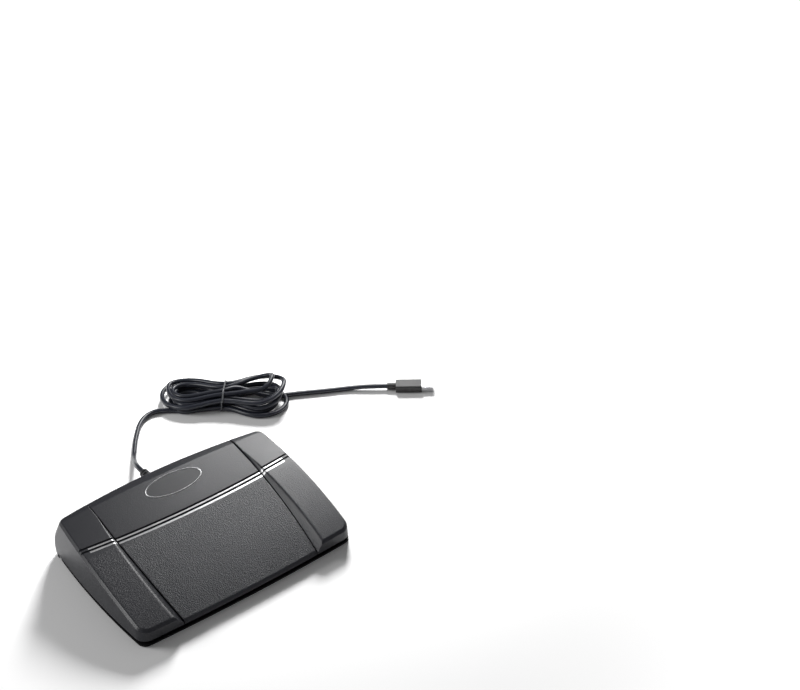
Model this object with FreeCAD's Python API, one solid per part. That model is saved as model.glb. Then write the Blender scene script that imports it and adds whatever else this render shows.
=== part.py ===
import FreeCAD, Part
import math
import os

from FreeCAD import Vector

# Foot pedal switch with three treadles side by side, hinged on one shaft near the heel.
# Millimetres. X runs to the right, Y from the toe edge to the heel, Z up.
# The origin is on the floor, under the middle of the pedal.

# Plan of the pedal
DEPTH = 170.0
MIDDLE_WIDTH = 225.0
TOE_NARROWING = 7.0
HEEL_NARROWING = 9.0
TOE_BULGE = 2.9
HEEL_BULGE = 9.0
MIDDLE_FROM_TOE = 76.0
HEEL_CORNER_FROM_HEEL = 9.0
HEEL_BULGE_INSET = 2.0
TOE_CORNER_RADIUS = 9.0
HEEL_CORNER_RADIUS = 9.0
SIDE_DRAFT = 3.5

# Heights of the side treadles' tops at the toe and at the heel band, how far the centre top lies
# below them, and how far each top rises over a straight line halfway between
SIDE_TOE_HEIGHT = 16.4
SIDE_HEEL_HEIGHT = 45.9
SIDE_CROWN = 3.6027
CENTRE_TOE_STEP = 6.2
CENTRE_HEEL_STEP = 1.0
CENTRE_CROWN = 3.792256
BAND_FROM_HEEL = 26.0
BAND_FALL = 0.05
BAND_CUT_LENGTH = 60.0
BAND_CUT_RISE = 30.0
BAND_CUT_LEAD = 14.0

# Heel face: it leans out on the way down and rounds under
HEEL_LEAN = 32.0
HEEL_WIDEST_HEIGHT = 10.4
HEEL_UPPER_RADIUS = 26.6
HEEL_LOWER_RADIUS = 12.0
CREST_RADIUS = 9.0
CREST_RISE = 0.9
HEEL_BOTTOM = 1.0

# Treadle mouldings
TOP_WALL = 2.5
SIDE_WALL = 3.0
SEAM_WALL = 2.5
SEAM_GAP = 0.8
SIDE_TREADLE_TOE_WIDTH = 40.3
SIDE_TREADLE_MIDDLE_WIDTH = 36.7
SEAM_STRAIGHT_FROM_HEEL = 47.0
REGION_HEIGHT = 70.0
EDGE_BEVEL = 2.0
CENTRE_TOE_BEVEL = 1.6
GROOVE_FROM_TOE = 96.2
GROOVE_PLAN_RADIUS = 925.0
GROOVE_WIDTH = 1.7
GROOVE_PITCH = 3.7
GROOVE_DEPTH = 1.3
COVE_TOE_WIDTH = 6.9
COVE_START_FROM_HEEL = 35.0
COVE_TOE_FALL = 1.6
COVE_PAST_TOE = 2.0
SKIRT_TOE_HEIGHT = 6.3
SKIRT_HEEL_HEIGHT = 3.3
BADGE_LENGTH = 58.0
BADGE_DEPTH = 25.0
BADGE_FROM_HEEL = 41.0
BADGE_X = 2.0
BADGE_RIM = 1.3
BADGE_RECESS = 0.7
BADGE_CLEARANCE = 0.1

# Hinge shaft and its stands
PIVOT_FROM_HEEL = 39.0
PIVOT_HEIGHT = 22.0
PRESS_ANGLE = 1.4
SHAFT_DIAMETER = 5.0
SHAFT_END_INSET = 9.0
RUNNING_CLEARANCE = 0.05
BOSS_DIAMETER = 12.0
BOSS_BORE_END = 1.0
SEAM_BOSS_LENGTH = 8.0
OUTER_BOSS_LENGTH = 10.0
INNER_STAND_FROM_SEAM = 15.8
OUTER_STAND_INSET = 21.5
STAND_THICKNESS = 2.0
STAND_WIDTH = 14.0
STAND_FOOT_LENGTH = 28.0
STAND_FOOT_WIDTH = 10.5
SHEET_THICKNESS = 1.5
BUSH_DIAMETER = 8.0
BUSH_FLANGE_DIAMETER = 10.5
BUSH_FLANGE = 1.0
CLIP_THICKNESS = 0.8
CLIP_DIAMETER = 9.0
CLIP_GROOVE_DIAMETER = 4.0
CLIP_GAP = 0.3

# Base plate, feet and stops
FOOT_HEIGHT = 0.8
BASE_THICKNESS = 2.0
BASE_INSET = 0.8
BASE_HEEL_INSET = 12.0
BASE_CLEARANCE = 1.0
FOOT_DIAMETER = 14.0
FOOT_NECK_DIAMETER = 6.0
FOOT_HEAD_DIAMETER = 9.0
FOOT_HEAD_HEIGHT = 1.2
TOE_FOOT_INSET = 11.0
TOE_FOOT_FROM_TOE = 27.0
HEEL_FOOT_INSET = 8.0
HEEL_FOOT_FROM_HEEL = 33.0
MIDDLE_TOE_FOOT_FROM_TOE = 14.0
MIDDLE_FOOT_FROM_TOE = 70.0
SCREW_DIAMETER = 3.0
SCREW_HEAD_DIAMETER = 5.6
SCREW_HEAD_HEIGHT = 2.0
SCREW_HOLE_CLEARANCE = 0.1
STOP_FROM_TOE = 13.0
STOP_DIAMETER = 9.0
STOP_HEIGHT = 3.2
STOP_REST_GAP = 0.3
CENTRE_STOP_FROM_SEAM = 18.7
SIDE_STOP_INSET = 12.0
KEEPER_FROM_TOE = 19.0
KEEPER_WIDTH = 12.0
KEEPER_LIP_HEIGHT = 5.7
KEEPER_LIP_LENGTH = 9.0
KEEPER_GAP = 0.3
KEEPER_SCREW_FROM_LIP = 7.0
KEEPER_FOOT_PAST_SCREW = 5.0
HOOK_THICKNESS = 2.0
HOOK_LENGTH = 8.0
CENTRE_KEEPER_SPACING = 44.0
SIDE_KEEPER_INSET = 23.0

# Return springs
SPRING_FROM_TOE = 51.0
SPRING_MEAN_DIAMETER = 9.0
SPRING_WIRE = 1.3
CENTRE_SPRING_SPACING = 76.0
SIDE_SPRING_INSET = 20.5
CENTRE_SPRING_TURNS = 4
SIDE_SPRING_TURNS = 5
SPRING_SEAT_DIAMETER = 14.0
SPRING_SEAT_HEIGHT = 1.2
SPRING_SPIGOT_DIAMETER = 6.0
SPRING_SPIGOT_HEIGHT = 3.0
SPRING_END_GAP = 0.3
CENTRE_PAD_HEIGHT = 16.0
SIDE_PAD_HEIGHT = 20.0

# Circuit board, switches and parts on the board
BOARD_END_INSET = 16.5
BOARD_DEPTH = 32.0
BOARD_THICKNESS = 1.6
BOARD_BEFORE_PIVOT = 14.0
STANDOFF_HEIGHT = 4.5
STANDOFF_DIAMETER = 7.0
BOARD_INNER_HOLE_SPACING = 72.0
BOARD_HOLE_EDGE = 5.0
SWITCH_FROM_BOARD_EDGE = 8.0
SIDE_SWITCH_FROM_BOARD_END = 10.0
SWITCH_LENGTH = 12.8
SWITCH_WIDTH = 6.0
SWITCH_HEIGHT = 6.5
SWITCH_PIN_DIAMETER = 0.8
SWITCH_PIN_SPACING = 5.0
SWITCH_PIN_LENGTH = 3.2
BUTTON_DIAMETER = 3.0
BUTTON_CLEARANCE = 0.1
BUTTON_PROUD = 1.3
BUTTON_BURIED = 3.9
BUTTON_WELL = 5.2
ACTUATOR_GAP = 0.2
ACTUATOR_DIAMETER = 6.0
CONNECTOR_LENGTH = 12.0
CONNECTOR_DEPTH = 8.0
CONNECTOR_HEIGHT = 7.0
CONNECTOR_FROM_BOARD_EDGE = 1.0
CHIP_SIZE = 10.0
CHIP_THICKNESS = 1.4
CHIP_X = 32.0
CHIP_FROM_BOARD_EDGE = 16.0
CHIP_LEGS = 6
CHIP_LEG_PITCH = 1.5
CHIP_LEG_WIDTH = 0.5
CHIP_LEG_REACH = 1.2
CHIP_LEG_THICKNESS = 0.4
CAPACITOR_DIAMETER = 5.0
CAPACITOR_HEIGHT = 5.5
CAPACITOR_PLACES = [(46.0, 19.0), (16.0, 22.0)]
RESISTORS = 5
RESISTOR_FIRST_X = -30.0
RESISTOR_PITCH = 4.0
RESISTOR_LENGTH = 2.0
RESISTOR_WIDTH = 1.2
RESISTOR_HEIGHT = 0.6
RESISTOR_FROM_BOARD_EDGE = 13.0

# Cable, its strain relief and clamp
CORD_DIAMETER = 5.0
EXIT_HEIGHT = 15.0
EXIT_X = 4.0
RELIEF_DIAMETER = 10.0
RELIEF_END_DIAMETER = 8.6
RELIEF_END_PAST_HEEL = 21.0
RELIEF_FLANGE_DIAMETER = 13.0
RELIEF_FLANGE = 2.5
RELIEF_NECK_DIAMETER = 8.0
RELIEF_RING_WIDTH = 1.2
RELIEF_RING_DEPTH = 1.1
RELIEF_RING_PITCH = 3.6
RELIEF_FIRST_RING = 3.8
RELIEF_RINGS = 4
RELIEF_HOLE_DIAMETER = 13.4
BRACKET_FROM_HEEL = 14.5
BRACKET_WIDTH = 20.0
BRACKET_HEIGHT = 25.0
BRACKET_FOOT = 10.0
CLAMP_FROM_HEEL = 28.0
CLAMP_WIDTH = 18.0
CLAMP_DEPTH = 7.0
CLAMP_OVER_CORD = 1.6
CLAMP_CLEARANCE = 0.05

# Plug on the far end of the cable
PLUG_LENGTH = 27.0
PLUG_WIDTH = 15.6
PLUG_HEIGHT = 8.0
PLUG_NOSE = 3.0
PLUG_CORNER = 2.2
PLUG_NECK_LENGTH = 9.0
PLUG_NECK_DIAMETER = 7.0
PLUG_SHELL_LENGTH = 12.0
PLUG_SHELL_WIDTH = 12.0
PLUG_SHELL_HEIGHT = 4.5
PLUG_SHELL_WALL = 0.35
PLUG_TONGUE_HEIGHT = 1.9
PLUG_TONGUE_SHORT = 1.0
PLUG_CONTACT_WIDTH = 1.0
PLUG_CONTACT_PITCH = 2.2
PLUG_CONTACT_THICKNESS = 0.2
PLUG_RUN_ALONG = 20.0
PLUG_RUN_ACROSS = 1.0

# Hank of tied cable
HANK_X = 142.5
HANK_Y = 178.0
HANK_TURN = -40.4
HANK_HALF_LENGTH = 64.0
HANK_LOBE_PLACE = 38.0
HANK_LOBE_HALF_WIDTH = 26.0
HANK_WAIST_HALF_WIDTH = 14.4
HANK_STEP = 6.6
HANK_LAYER_STEP = 5.8
HANK_LAYERS = 3
TURNS_PER_LAYER = 2
HANK_TIP_LIFT = 6.4
TIE_WIDTH = 1.8
TIE_THICKNESS = 0.8
TIE_CLEARANCE = 0.4

# Points of the loose cable between its strain relief and the hank, chosen by hand
CORD_RUN_POINTS = [
    (4.0, 106.0, 15.0),
    (4.0, 114.0, 15.0),
    (6.4, 124.5, 11.8),
    (10.6, 135.5, 7.0),
    (16.0, 146.5, 3.2),
    (22.8, 157.0, 2.5),
    (30.6, 169.0, 2.5),
    (40.0, 181.0, 2.5),
    (49.0, 191.5, 2.5),
    (60.0, 199.0, 2.5),
    (72.0, 200.6, 2.5),
]
RUN_BEFORE_HANK = 13.0

# Points of the loose cable after the hank, as places along and across the hank, and heights
CORD_TAIL_POINTS = [
    (12.0, -1.2, 15.3),
    (23.0, -0.8, 11.6),
    (34.0, 0.2, 6.2),
    (46.0, 1.2, 2.5),
    (62.0, 3.6, 2.5),
    (81.0, 8.2, 2.5),
    (103.0, 12.2, 2.5),
    (126.0, 17.6, 2.5),
    (148.0, 19.6, 4.0),
]

# Places and sizes worked out from those above
TOE_Y = -DEPTH / 2
HEEL_Y = DEPTH / 2
TOE_CORNER_Y = TOE_Y + TOE_BULGE
TOE_CORNER_WIDTH = MIDDLE_WIDTH - TOE_NARROWING
HEEL_CORNER_WIDTH = MIDDLE_WIDTH - HEEL_NARROWING
HEEL_BULGE_SPAN = HEEL_CORNER_WIDTH - 2 * HEEL_BULGE_INSET
SEAM_TOE_SPACING = TOE_CORNER_WIDTH - 2 * SIDE_TREADLE_TOE_WIDTH
SEAM_HEEL_SPACING = MIDDLE_WIDTH - 2 * SIDE_TREADLE_MIDDLE_WIDTH
SEAM_STRAIGHT_Y = HEEL_Y - SEAM_STRAIGHT_FROM_HEEL
GROOVE_Y = TOE_Y + GROOVE_FROM_TOE
BAND_Y = HEEL_Y - BAND_FROM_HEEL
CENTRE_TOE_HEIGHT = SIDE_TOE_HEIGHT - CENTRE_TOE_STEP
CENTRE_HEEL_HEIGHT = SIDE_HEEL_HEIGHT - CENTRE_HEEL_STEP
CREST_HEIGHT = SIDE_HEEL_HEIGHT + CREST_RISE
BADGE_Y = HEEL_Y - BADGE_FROM_HEEL
BASE_BOTTOM = FOOT_HEIGHT
BASE_TOP = BASE_BOTTOM + BASE_THICKNESS
PIVOT_Y = HEEL_Y - PIVOT_FROM_HEEL
SHAFT_LENGTH = MIDDLE_WIDTH - 2 * SHAFT_END_INSET
INNER_STAND_X = SEAM_HEEL_SPACING / 2 - INNER_STAND_FROM_SEAM
OUTER_STAND_X = MIDDLE_WIDTH / 2 - OUTER_STAND_INSET
TOE_FOOT_X = TOE_CORNER_WIDTH / 2 - TOE_FOOT_INSET
HEEL_FOOT_X = HEEL_CORNER_WIDTH / 2 - HEEL_FOOT_INSET
CENTRE_STOP_X = SEAM_TOE_SPACING / 2 - CENTRE_STOP_FROM_SEAM
SIDE_STOP_X = TOE_CORNER_WIDTH / 2 - SIDE_STOP_INSET
SIDE_KEEPER_X = TOE_CORNER_WIDTH / 2 - SIDE_KEEPER_INSET
SIDE_SPRING_X = MIDDLE_WIDTH / 2 - SIDE_SPRING_INSET
BOARD_LENGTH = MIDDLE_WIDTH - 2 * BOARD_END_INSET
BOARD_Y1 = PIVOT_Y - BOARD_BEFORE_PIVOT
BOARD_Y0 = BOARD_Y1 - BOARD_DEPTH
SWITCH_Y = BOARD_Y0 + SWITCH_FROM_BOARD_EDGE
SIDE_SWITCH_X = BOARD_LENGTH / 2 - SIDE_SWITCH_FROM_BOARD_END
BRACKET_Y = HEEL_Y - BRACKET_FROM_HEEL
CLAMP_Y = HEEL_Y - CLAMP_FROM_HEEL
BOARD_BOTTOM = BASE_TOP + STANDOFF_HEIGHT
BOARD_TOP = BOARD_BOTTOM + BOARD_THICKNESS
SWITCH_TOP = BOARD_TOP + SWITCH_HEIGHT
BUTTON_TOP = SWITCH_TOP + BUTTON_PROUD
CORD_RADIUS = CORD_DIAMETER / 2
PRESS = math.radians(PRESS_ANGLE)
SIDES = {"left": -1, "right": 1}
FAR = 400.0
UP = Vector(0, 0, 1)
ALONG_X = Vector(1, 0, 0)
ALONG_Y = Vector(0, 1, 0)


def box(x0, x1, y0, y1, z0, z1):
    return Part.makeBox(x1 - x0, y1 - y0, z1 - z0, Vector(x0, y0, z0))


def rod(diameter, start, direction, length):
    return Part.makeCylinder(diameter / 2, length, Vector(*start), direction)


def fuse_all(shapes):
    return shapes[0].multiFuse(shapes[1:]).removeSplitter() if len(shapes) > 1 else shapes[0]


def save(name, *solids):
    shape = solids[0] if len(solids) == 1 else Part.makeCompound(list(solids))
    shape.exportStep(os.path.join("parts", name + ".step"))


def circle_through(first, second, third):
    """Centre and radius of the circle through three points of a plane."""
    (ax, ay), (bx, by), (cx, cy) = first, second, third
    a2, b2, c2 = ax * ax + ay * ay, bx * bx + by * by, cx * cx + cy * cy
    twice = 2 * (ax * (by - cy) + bx * (cy - ay) + cx * (ay - by))
    x = (a2 * (by - cy) + b2 * (cy - ay) + c2 * (ay - by)) / twice
    y = (a2 * (cx - bx) + b2 * (ax - cx) + c2 * (bx - ax)) / twice
    return x, y, math.hypot(ax - x, ay - y)


# Outline of the pedal at one height

def corner_between(first, second, radius, guess):
    """Rounded corner inside two circles: its centre and where it touches each of them."""
    x, y = guess
    for _ in range(60):
        d1 = math.hypot(x - first[0], y - first[1])
        d2 = math.hypot(x - second[0], y - second[1])
        miss1, miss2 = d1 - (first[2] - radius), d2 - (second[2] - radius)
        a, b = (x - first[0]) / d1, (y - first[1]) / d1
        c, d = (x - second[0]) / d2, (y - second[1]) / d2
        det = a * d - b * c
        x += (-miss1 * d + miss2 * b) / det
        y += (-miss2 * a + miss1 * c) / det

    def touch(circle):
        reach = math.hypot(x - circle[0], y - circle[1])
        return (circle[0] + (x - circle[0]) * circle[2] / reach,
                circle[1] + (y - circle[1]) * circle[2] / reach)

    return (x, y), touch(first), touch(second)


def arc_middle(centre, radius, start, end):
    x = (start[0] + end[0]) / 2 - centre[0]
    y = (start[1] + end[1]) / 2 - centre[1]
    reach = math.hypot(x, y)
    return centre[0] + x * radius / reach, centre[1] + y * radius / reach


def side_circle(inset):
    return circle_through((TOE_CORNER_WIDTH / 2 - inset, TOE_CORNER_Y),
                          (MIDDLE_WIDTH / 2 - inset, TOE_Y + MIDDLE_FROM_TOE),
                          (HEEL_CORNER_WIDTH / 2 - inset, HEEL_Y - HEEL_CORNER_FROM_HEEL))


def outline(z, inset, heel_y):
    """Closed outline at height z, with its heel edge through heel_y on the middle line."""
    toe_radius = max(TOE_CORNER_RADIUS - inset, 1.0)
    heel_radius = max(HEEL_CORNER_RADIUS - inset, 1.0)
    side = side_circle(inset)
    half = TOE_CORNER_WIDTH / 2
    toe = circle_through((-half, TOE_CORNER_Y + inset), (0, TOE_Y + inset), (half, TOE_CORNER_Y + inset))
    half = HEEL_BULGE_SPAN / 2
    heel = circle_through((-half, heel_y - HEEL_BULGE), (0, heel_y), (half, heel_y - HEEL_BULGE))
    near_guess = (TOE_CORNER_WIDTH / 2 - 9, TOE_Y + 10)
    rear_guess = (HEEL_CORNER_WIDTH / 2 - 13, heel_y - 20)
    near, near_side, near_toe = corner_between(side, toe, toe_radius, near_guess)
    rear, rear_side, rear_heel = corner_between(side, heel, heel_radius, rear_guess)
    toe_mid = (0, toe[1] - toe[2])
    heel_mid = (0, heel[1] + heel[2])
    near_mid = arc_middle(near, toe_radius, near_toe, near_side)
    side_mid = arc_middle(side, side[2], near_side, rear_side)
    rear_mid = arc_middle(rear, heel_radius, rear_side, rear_heel)

    def mirrored(point):
        return -point[0], point[1]

    loop = [mirrored(near_toe), toe_mid, near_toe, near_mid, near_side, side_mid, rear_side,
            rear_mid, rear_heel, heel_mid, mirrored(rear_heel), mirrored(rear_mid),
            mirrored(rear_side), mirrored(side_mid), mirrored(near_side), mirrored(near_mid)]
    loop.append(loop[0])
    arcs = []
    for i in range(0, len(loop) - 1, 2):
        points = [Vector(x, y, z) for x, y in loop[i:i + 3]]
        arcs.append(Part.Arc(*points).toShape())
    return Part.Wire(arcs)


def heel_profile(z, inset):
    """Furthest Y of the heel face on the middle line at height z."""
    lean = math.radians(HEEL_LEAN)
    upper, lower, crest = HEEL_UPPER_RADIUS, HEEL_LOWER_RADIUS, CREST_RADIUS
    line_z = HEEL_WIDEST_HEIGHT + upper * math.sin(lean)
    line_y = HEEL_Y - upper + upper * math.cos(lean)
    crest_z = CREST_HEIGHT - crest
    crest_y = line_y - (crest_z - line_z) * math.tan(lean) - crest / math.cos(lean)
    if z < HEEL_WIDEST_HEIGHT:
        reach = math.sqrt((lower - inset) ** 2 - (HEEL_WIDEST_HEIGHT - z) ** 2)
        return HEEL_Y - lower + reach
    if z < line_z:
        return HEEL_Y - upper + math.sqrt((upper - inset) ** 2 - (z - HEEL_WIDEST_HEIGHT) ** 2)
    if z < crest_z + crest * math.sin(lean):
        return line_y - inset / math.cos(lean) - (z - line_z) * math.tan(lean)
    return crest_y + math.sqrt(max((crest - inset) ** 2 - (z - crest_z) ** 2, 0.04))


def hull(inset):
    """Everything inside the side, toe and heel walls, as a loft through level outlines."""
    floor = HEEL_BOTTOM + inset * 0.4
    steps = [floor, 3.4, 5.6, 8.0, HEEL_WIDEST_HEIGHT, 14.0, 17.5, 21.0, 24.5]
    steps += [CREST_HEIGHT * share for share in (0.641026, 0.747863)]
    steps += [CREST_HEIGHT - inset - fall for fall in (7.5, 5.0, 3.3, 2.0, 1.0, 0.4, 0.05)]
    draft = math.tan(math.radians(SIDE_DRAFT))
    wires = [outline(z, inset + z * draft, heel_profile(z, inset)) for z in steps]
    return Part.makeLoft(wires, True, False)


# Side view of the treadle tops

def top_circle(toe, crown, heel):
    middle = ((TOE_CORNER_Y + BAND_Y) / 2, (toe + heel) / 2 + crown)
    return circle_through((TOE_CORNER_Y, toe), middle, (BAND_Y, heel))


def top_height(circle, y):
    return circle[1] + math.sqrt(circle[2] ** 2 - (y - circle[0]) ** 2)


def under_top(circle, half_width=FAR / 2):
    """Everything under one treadle top, extruded across the pedal."""
    ends = [(y, top_height(circle, y)) for y in (TOE_Y - 10, 0, HEEL_Y + 10)]
    arc = Part.Arc(*[Vector(-half_width, y, z) for y, z in ends]).toShape()
    corners = [Vector(-half_width, HEEL_Y + 10, ends[2][1]), Vector(-half_width, HEEL_Y + 10, -FAR / 4),
               Vector(-half_width, TOE_Y - 10, -FAR / 4), Vector(-half_width, TOE_Y - 10, ends[0][1])]
    lines = [Part.LineSegment(corners[i], corners[i + 1]).toShape() for i in range(3)]
    return Part.Face(Part.Wire([arc] + lines)).extrude(Vector(2 * half_width, 0, 0))


def heel_axis_y():
    half = HEEL_BULGE_SPAN / 2
    radius = (half ** 2 + HEEL_BULGE ** 2) / (2 * HEEL_BULGE)
    return HEEL_Y - radius


def heel_band(circle):
    """What is cut away over the narrow band between a treadle top and the heel."""
    z0 = top_height(circle, BAND_Y)
    y1, z1 = BAND_Y + BAND_CUT_LENGTH, z0 + BAND_CUT_RISE
    corners = [(BAND_Y, z0), (y1, z0 - BAND_CUT_LENGTH * BAND_FALL), (y1, z1), (BAND_Y - BAND_CUT_LEAD, z1)]
    points = [Vector(0, y, z) for y, z in corners]
    axis = Vector(0, heel_axis_y(), 0)
    face = Part.Face(Part.makePolygon(points + points[:1]))
    face.rotate(axis, UP, -20)
    return face.revolve(axis, UP, 40)


def skirt_cut():
    """What is cut away under the treadles: the travel gap over the base, and the heel's inside."""
    base_heel = HEEL_Y - BASE_HEEL_INSET
    slope_end = (base_heel - 6, SKIRT_HEEL_HEIGHT)
    corners = [(TOE_Y - 20, SKIRT_TOE_HEIGHT - 20 * skirt_slope()), slope_end,
               (slope_end[0], -10), (TOE_Y - 20, -10)]
    points = [Vector(-FAR / 2, y, z) for y, z in corners]
    slope = Part.Face(Part.makePolygon(points + points[:1])).extrude(Vector(FAR, 0, 0))
    round_base = Part.Face(outline(-5, BASE_INSET - BASE_CLEARANCE, base_heel + BASE_CLEARANCE))
    return slope.fuse(round_base.extrude(Vector(0, 0, 5 + SKIRT_HEEL_HEIGHT)))


def skirt_slope():
    return (SKIRT_TOE_HEIGHT - SKIRT_HEEL_HEIGHT) / (TOE_Y - (HEEL_Y - BASE_HEEL_INSET - 6))


# Seams between the treadles

def seam_points(shift):
    """Three points of the right seam line in plan, moved to the right by shift."""
    return [(seam_x(y) + shift, y) for y in (TOE_Y, (TOE_Y + SEAM_STRAIGHT_Y) / 2, SEAM_STRAIGHT_Y)]


def seam_edges(shift, z, side):
    near, middle, bend = [Vector(side * x, y, z) for x, y in seam_points(shift)]
    before = Vector(near.x, near.y - 20, z)
    after = Vector(bend.x, HEEL_Y + 20, z)
    return [Part.LineSegment(before, near).toShape(), Part.Arc(near, middle, bend).toShape(),
            Part.LineSegment(bend, after).toShape()], before, after


def side_region(side, shift):
    """Everything outside the seam on one side."""
    edges, before, after = seam_edges(shift, -5, side)
    far = side * FAR / 2
    corners = [after, Vector(far, after.y, -5), Vector(far, before.y, -5), before]
    edges += [Part.LineSegment(corners[i], corners[i + 1]).toShape() for i in range(3)]
    return Part.Face(Part.Wire(edges)).extrude(Vector(0, 0, REGION_HEIGHT))


def centre_region(shift):
    """Everything between the two seams."""
    right, right_before, right_after = seam_edges(shift, -5, 1)
    left, left_before, left_after = seam_edges(shift, -5, -1)
    back = Part.LineSegment(right_after, left_after).toShape()
    front = Part.LineSegment(left_before, right_before).toShape()
    wire = Part.Wire(Part.__sortEdges__(right + left + [back, front]))
    return Part.Face(wire).extrude(Vector(0, 0, REGION_HEIGHT))


# Treadles

SIDE_TOP = top_circle(SIDE_TOE_HEIGHT, SIDE_CROWN, SIDE_HEEL_HEIGHT)
CENTRE_TOP = top_circle(CENTRE_TOE_HEIGHT, CENTRE_CROWN, CENTRE_HEEL_HEIGHT)


def lowered(circle, drop):
    return circle[0], circle[1], circle[2] - drop


def bevel_edges(block, toe_height):
    """The edges where a top meets the toe and side walls."""
    chosen = []
    for edge in block.Edges:
        bounds = edge.BoundBox
        on_toe = bounds.YMax < TOE_CORNER_Y + TOE_CORNER_RADIUS + 2 and bounds.ZMin > toe_height - 2
        on_side = bounds.ZMin > toe_height and bounds.YMin < TOE_Y + 20 and bounds.YMax > 0
        if on_toe or on_side:
            chosen.append(edge)
    return chosen


def beveled_block(circle, toe_height, bevel):
    block = hull(0).common(under_top(circle))
    block = block.makeChamfer(bevel, bevel_edges(block, toe_height))
    return block.cut(heel_band(circle)).cut(skirt_cut())


def grooves(circle):
    """The twin grooves that arch across the treadles, as deep on each of them."""
    bed = under_top(lowered(circle, GROOVE_DEPTH))
    reach = box(-FAR / 2, FAR / 2, TOE_Y, HEEL_Y, 0, REGION_HEIGHT)
    cutters = []
    for place in (0, -GROOVE_PITCH):
        centre = (0, GROOVE_Y + place + GROOVE_PLAN_RADIUS, 0)
        disc = rod(2 * (GROOVE_PLAN_RADIUS + GROOVE_WIDTH), centre, UP, REGION_HEIGHT).common(reach)
        cutters.append(disc.cut(rod(2 * GROOVE_PLAN_RADIUS, centre, UP, REGION_HEIGHT)).cut(bed))
    return cutters


def cove(side):
    """What is cut from a side treadle's inner edge: a sloping face that widens towards the toe."""
    start_y = HEEL_Y - COVE_START_FROM_HEEL
    wires = []
    for share in (0.01, 0.05, 0.12, 0.22, 0.4, 0.65, 1.0):
        y = start_y + (TOE_Y - COVE_PAST_TOE - start_y) * share
        width = COVE_TOE_WIDTH * math.sqrt(1 - (1 - share) ** 2)
        seam = seam_x(y) + SEAM_GAP / 2
        low = top_height(CENTRE_TOP, y) - COVE_TOE_FALL * share
        high = top_height(SIDE_TOP, y)
        slope = (high - low) / width
        corners = [(seam - 3, low - 3 * slope), (seam + width + 2, high + 2 * slope), (seam - 3, high + 9)]
        points = [Vector(side * x, y, z) for x, z in corners]
        wires.append(Part.makePolygon(points + points[:1]))
    return Part.makeLoft(wires, True, True)


def seam_x(y):
    """Half the distance between the seams at y."""
    bend = min((y - SEAM_STRAIGHT_Y) / (SEAM_STRAIGHT_Y - TOE_Y), 0)
    return SEAM_HEEL_SPACING / 2 - (SEAM_HEEL_SPACING - SEAM_TOE_SPACING) / 2 * bend ** 2


def board_notch():
    """The space that the seam walls leave for the circuit board and what is on it."""
    return box(-FAR / 2, FAR / 2, BOARD_Y0 - 4, BOARD_Y1 + 4, -5, SWITCH_TOP + 4)


def travel_at(y):
    """How far a treadle goes down at y when it is pressed."""
    return (PIVOT_Y - y) * math.sin(PRESS)


def stop_rib(x, circle):
    y = TOE_Y + STOP_FROM_TOE
    bottom = BASE_TOP + STOP_HEIGHT + travel_at(y) + STOP_REST_GAP
    block = box(x - STOP_DIAMETER / 2, x + STOP_DIAMETER / 2, y - 4, y + 4, bottom, REGION_HEIGHT)
    return block.common(under_top(lowered(circle, TOP_WALL / 2)))


def keeper_hook(x, circle):
    """The leg under a treadle whose toe catches below a keeper's lip."""
    lip_y = TOE_Y + KEEPER_FROM_TOE
    top = BASE_TOP + KEEPER_LIP_HEIGHT - KEEPER_GAP
    y0 = lip_y - HOOK_THICKNESS - 2
    half = KEEPER_WIDTH / 2 - 1
    leg = box(x - half, x + half, y0, y0 + HOOK_THICKNESS, top - HOOK_THICKNESS,
              REGION_HEIGHT)
    toe = box(x - half, x + half, y0, y0 + HOOK_LENGTH, top - HOOK_THICKNESS, top)
    return fuse_all([leg.common(under_top(lowered(circle, TOP_WALL / 2))), toe])


def spring_pad(x, circle, pad_height):
    y = TOE_Y + SPRING_FROM_TOE
    pad = rod(SPRING_SEAT_DIAMETER, (x, y, pad_height), UP, REGION_HEIGHT)
    pad = pad.common(under_top(lowered(circle, TOP_WALL / 2)))
    spigot_z = pad_height - SPRING_SPIGOT_HEIGHT
    return fuse_all([pad, rod(SPRING_SPIGOT_DIAMETER, (x, y, spigot_z), UP, SPRING_SPIGOT_HEIGHT + 1)])


def actuator(x, circle):
    post = rod(ACTUATOR_DIAMETER, (x, SWITCH_Y, BUTTON_TOP + ACTUATOR_GAP), UP, REGION_HEIGHT)
    return post.common(under_top(lowered(circle, TOP_WALL / 2)))


def boss(x0, x1):
    return rod(BOSS_DIAMETER, (x0, PIVOT_Y, PIVOT_HEIGHT), ALONG_X, x1 - x0)


def shaft_bore(length, x0):
    bore = SHAFT_DIAMETER + 2 * RUNNING_CLEARANCE
    return rod(bore, (x0, PIVOT_Y, PIVOT_HEIGHT), ALONG_X, length)


def inner_side_x(y):
    """Inner face of the side wall at shaft height."""
    x, yc, radius = side_circle(SIDE_WALL + PIVOT_HEIGHT * math.tan(math.radians(SIDE_DRAFT)))
    return x + math.sqrt(radius ** 2 - (y - yc) ** 2)


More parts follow.
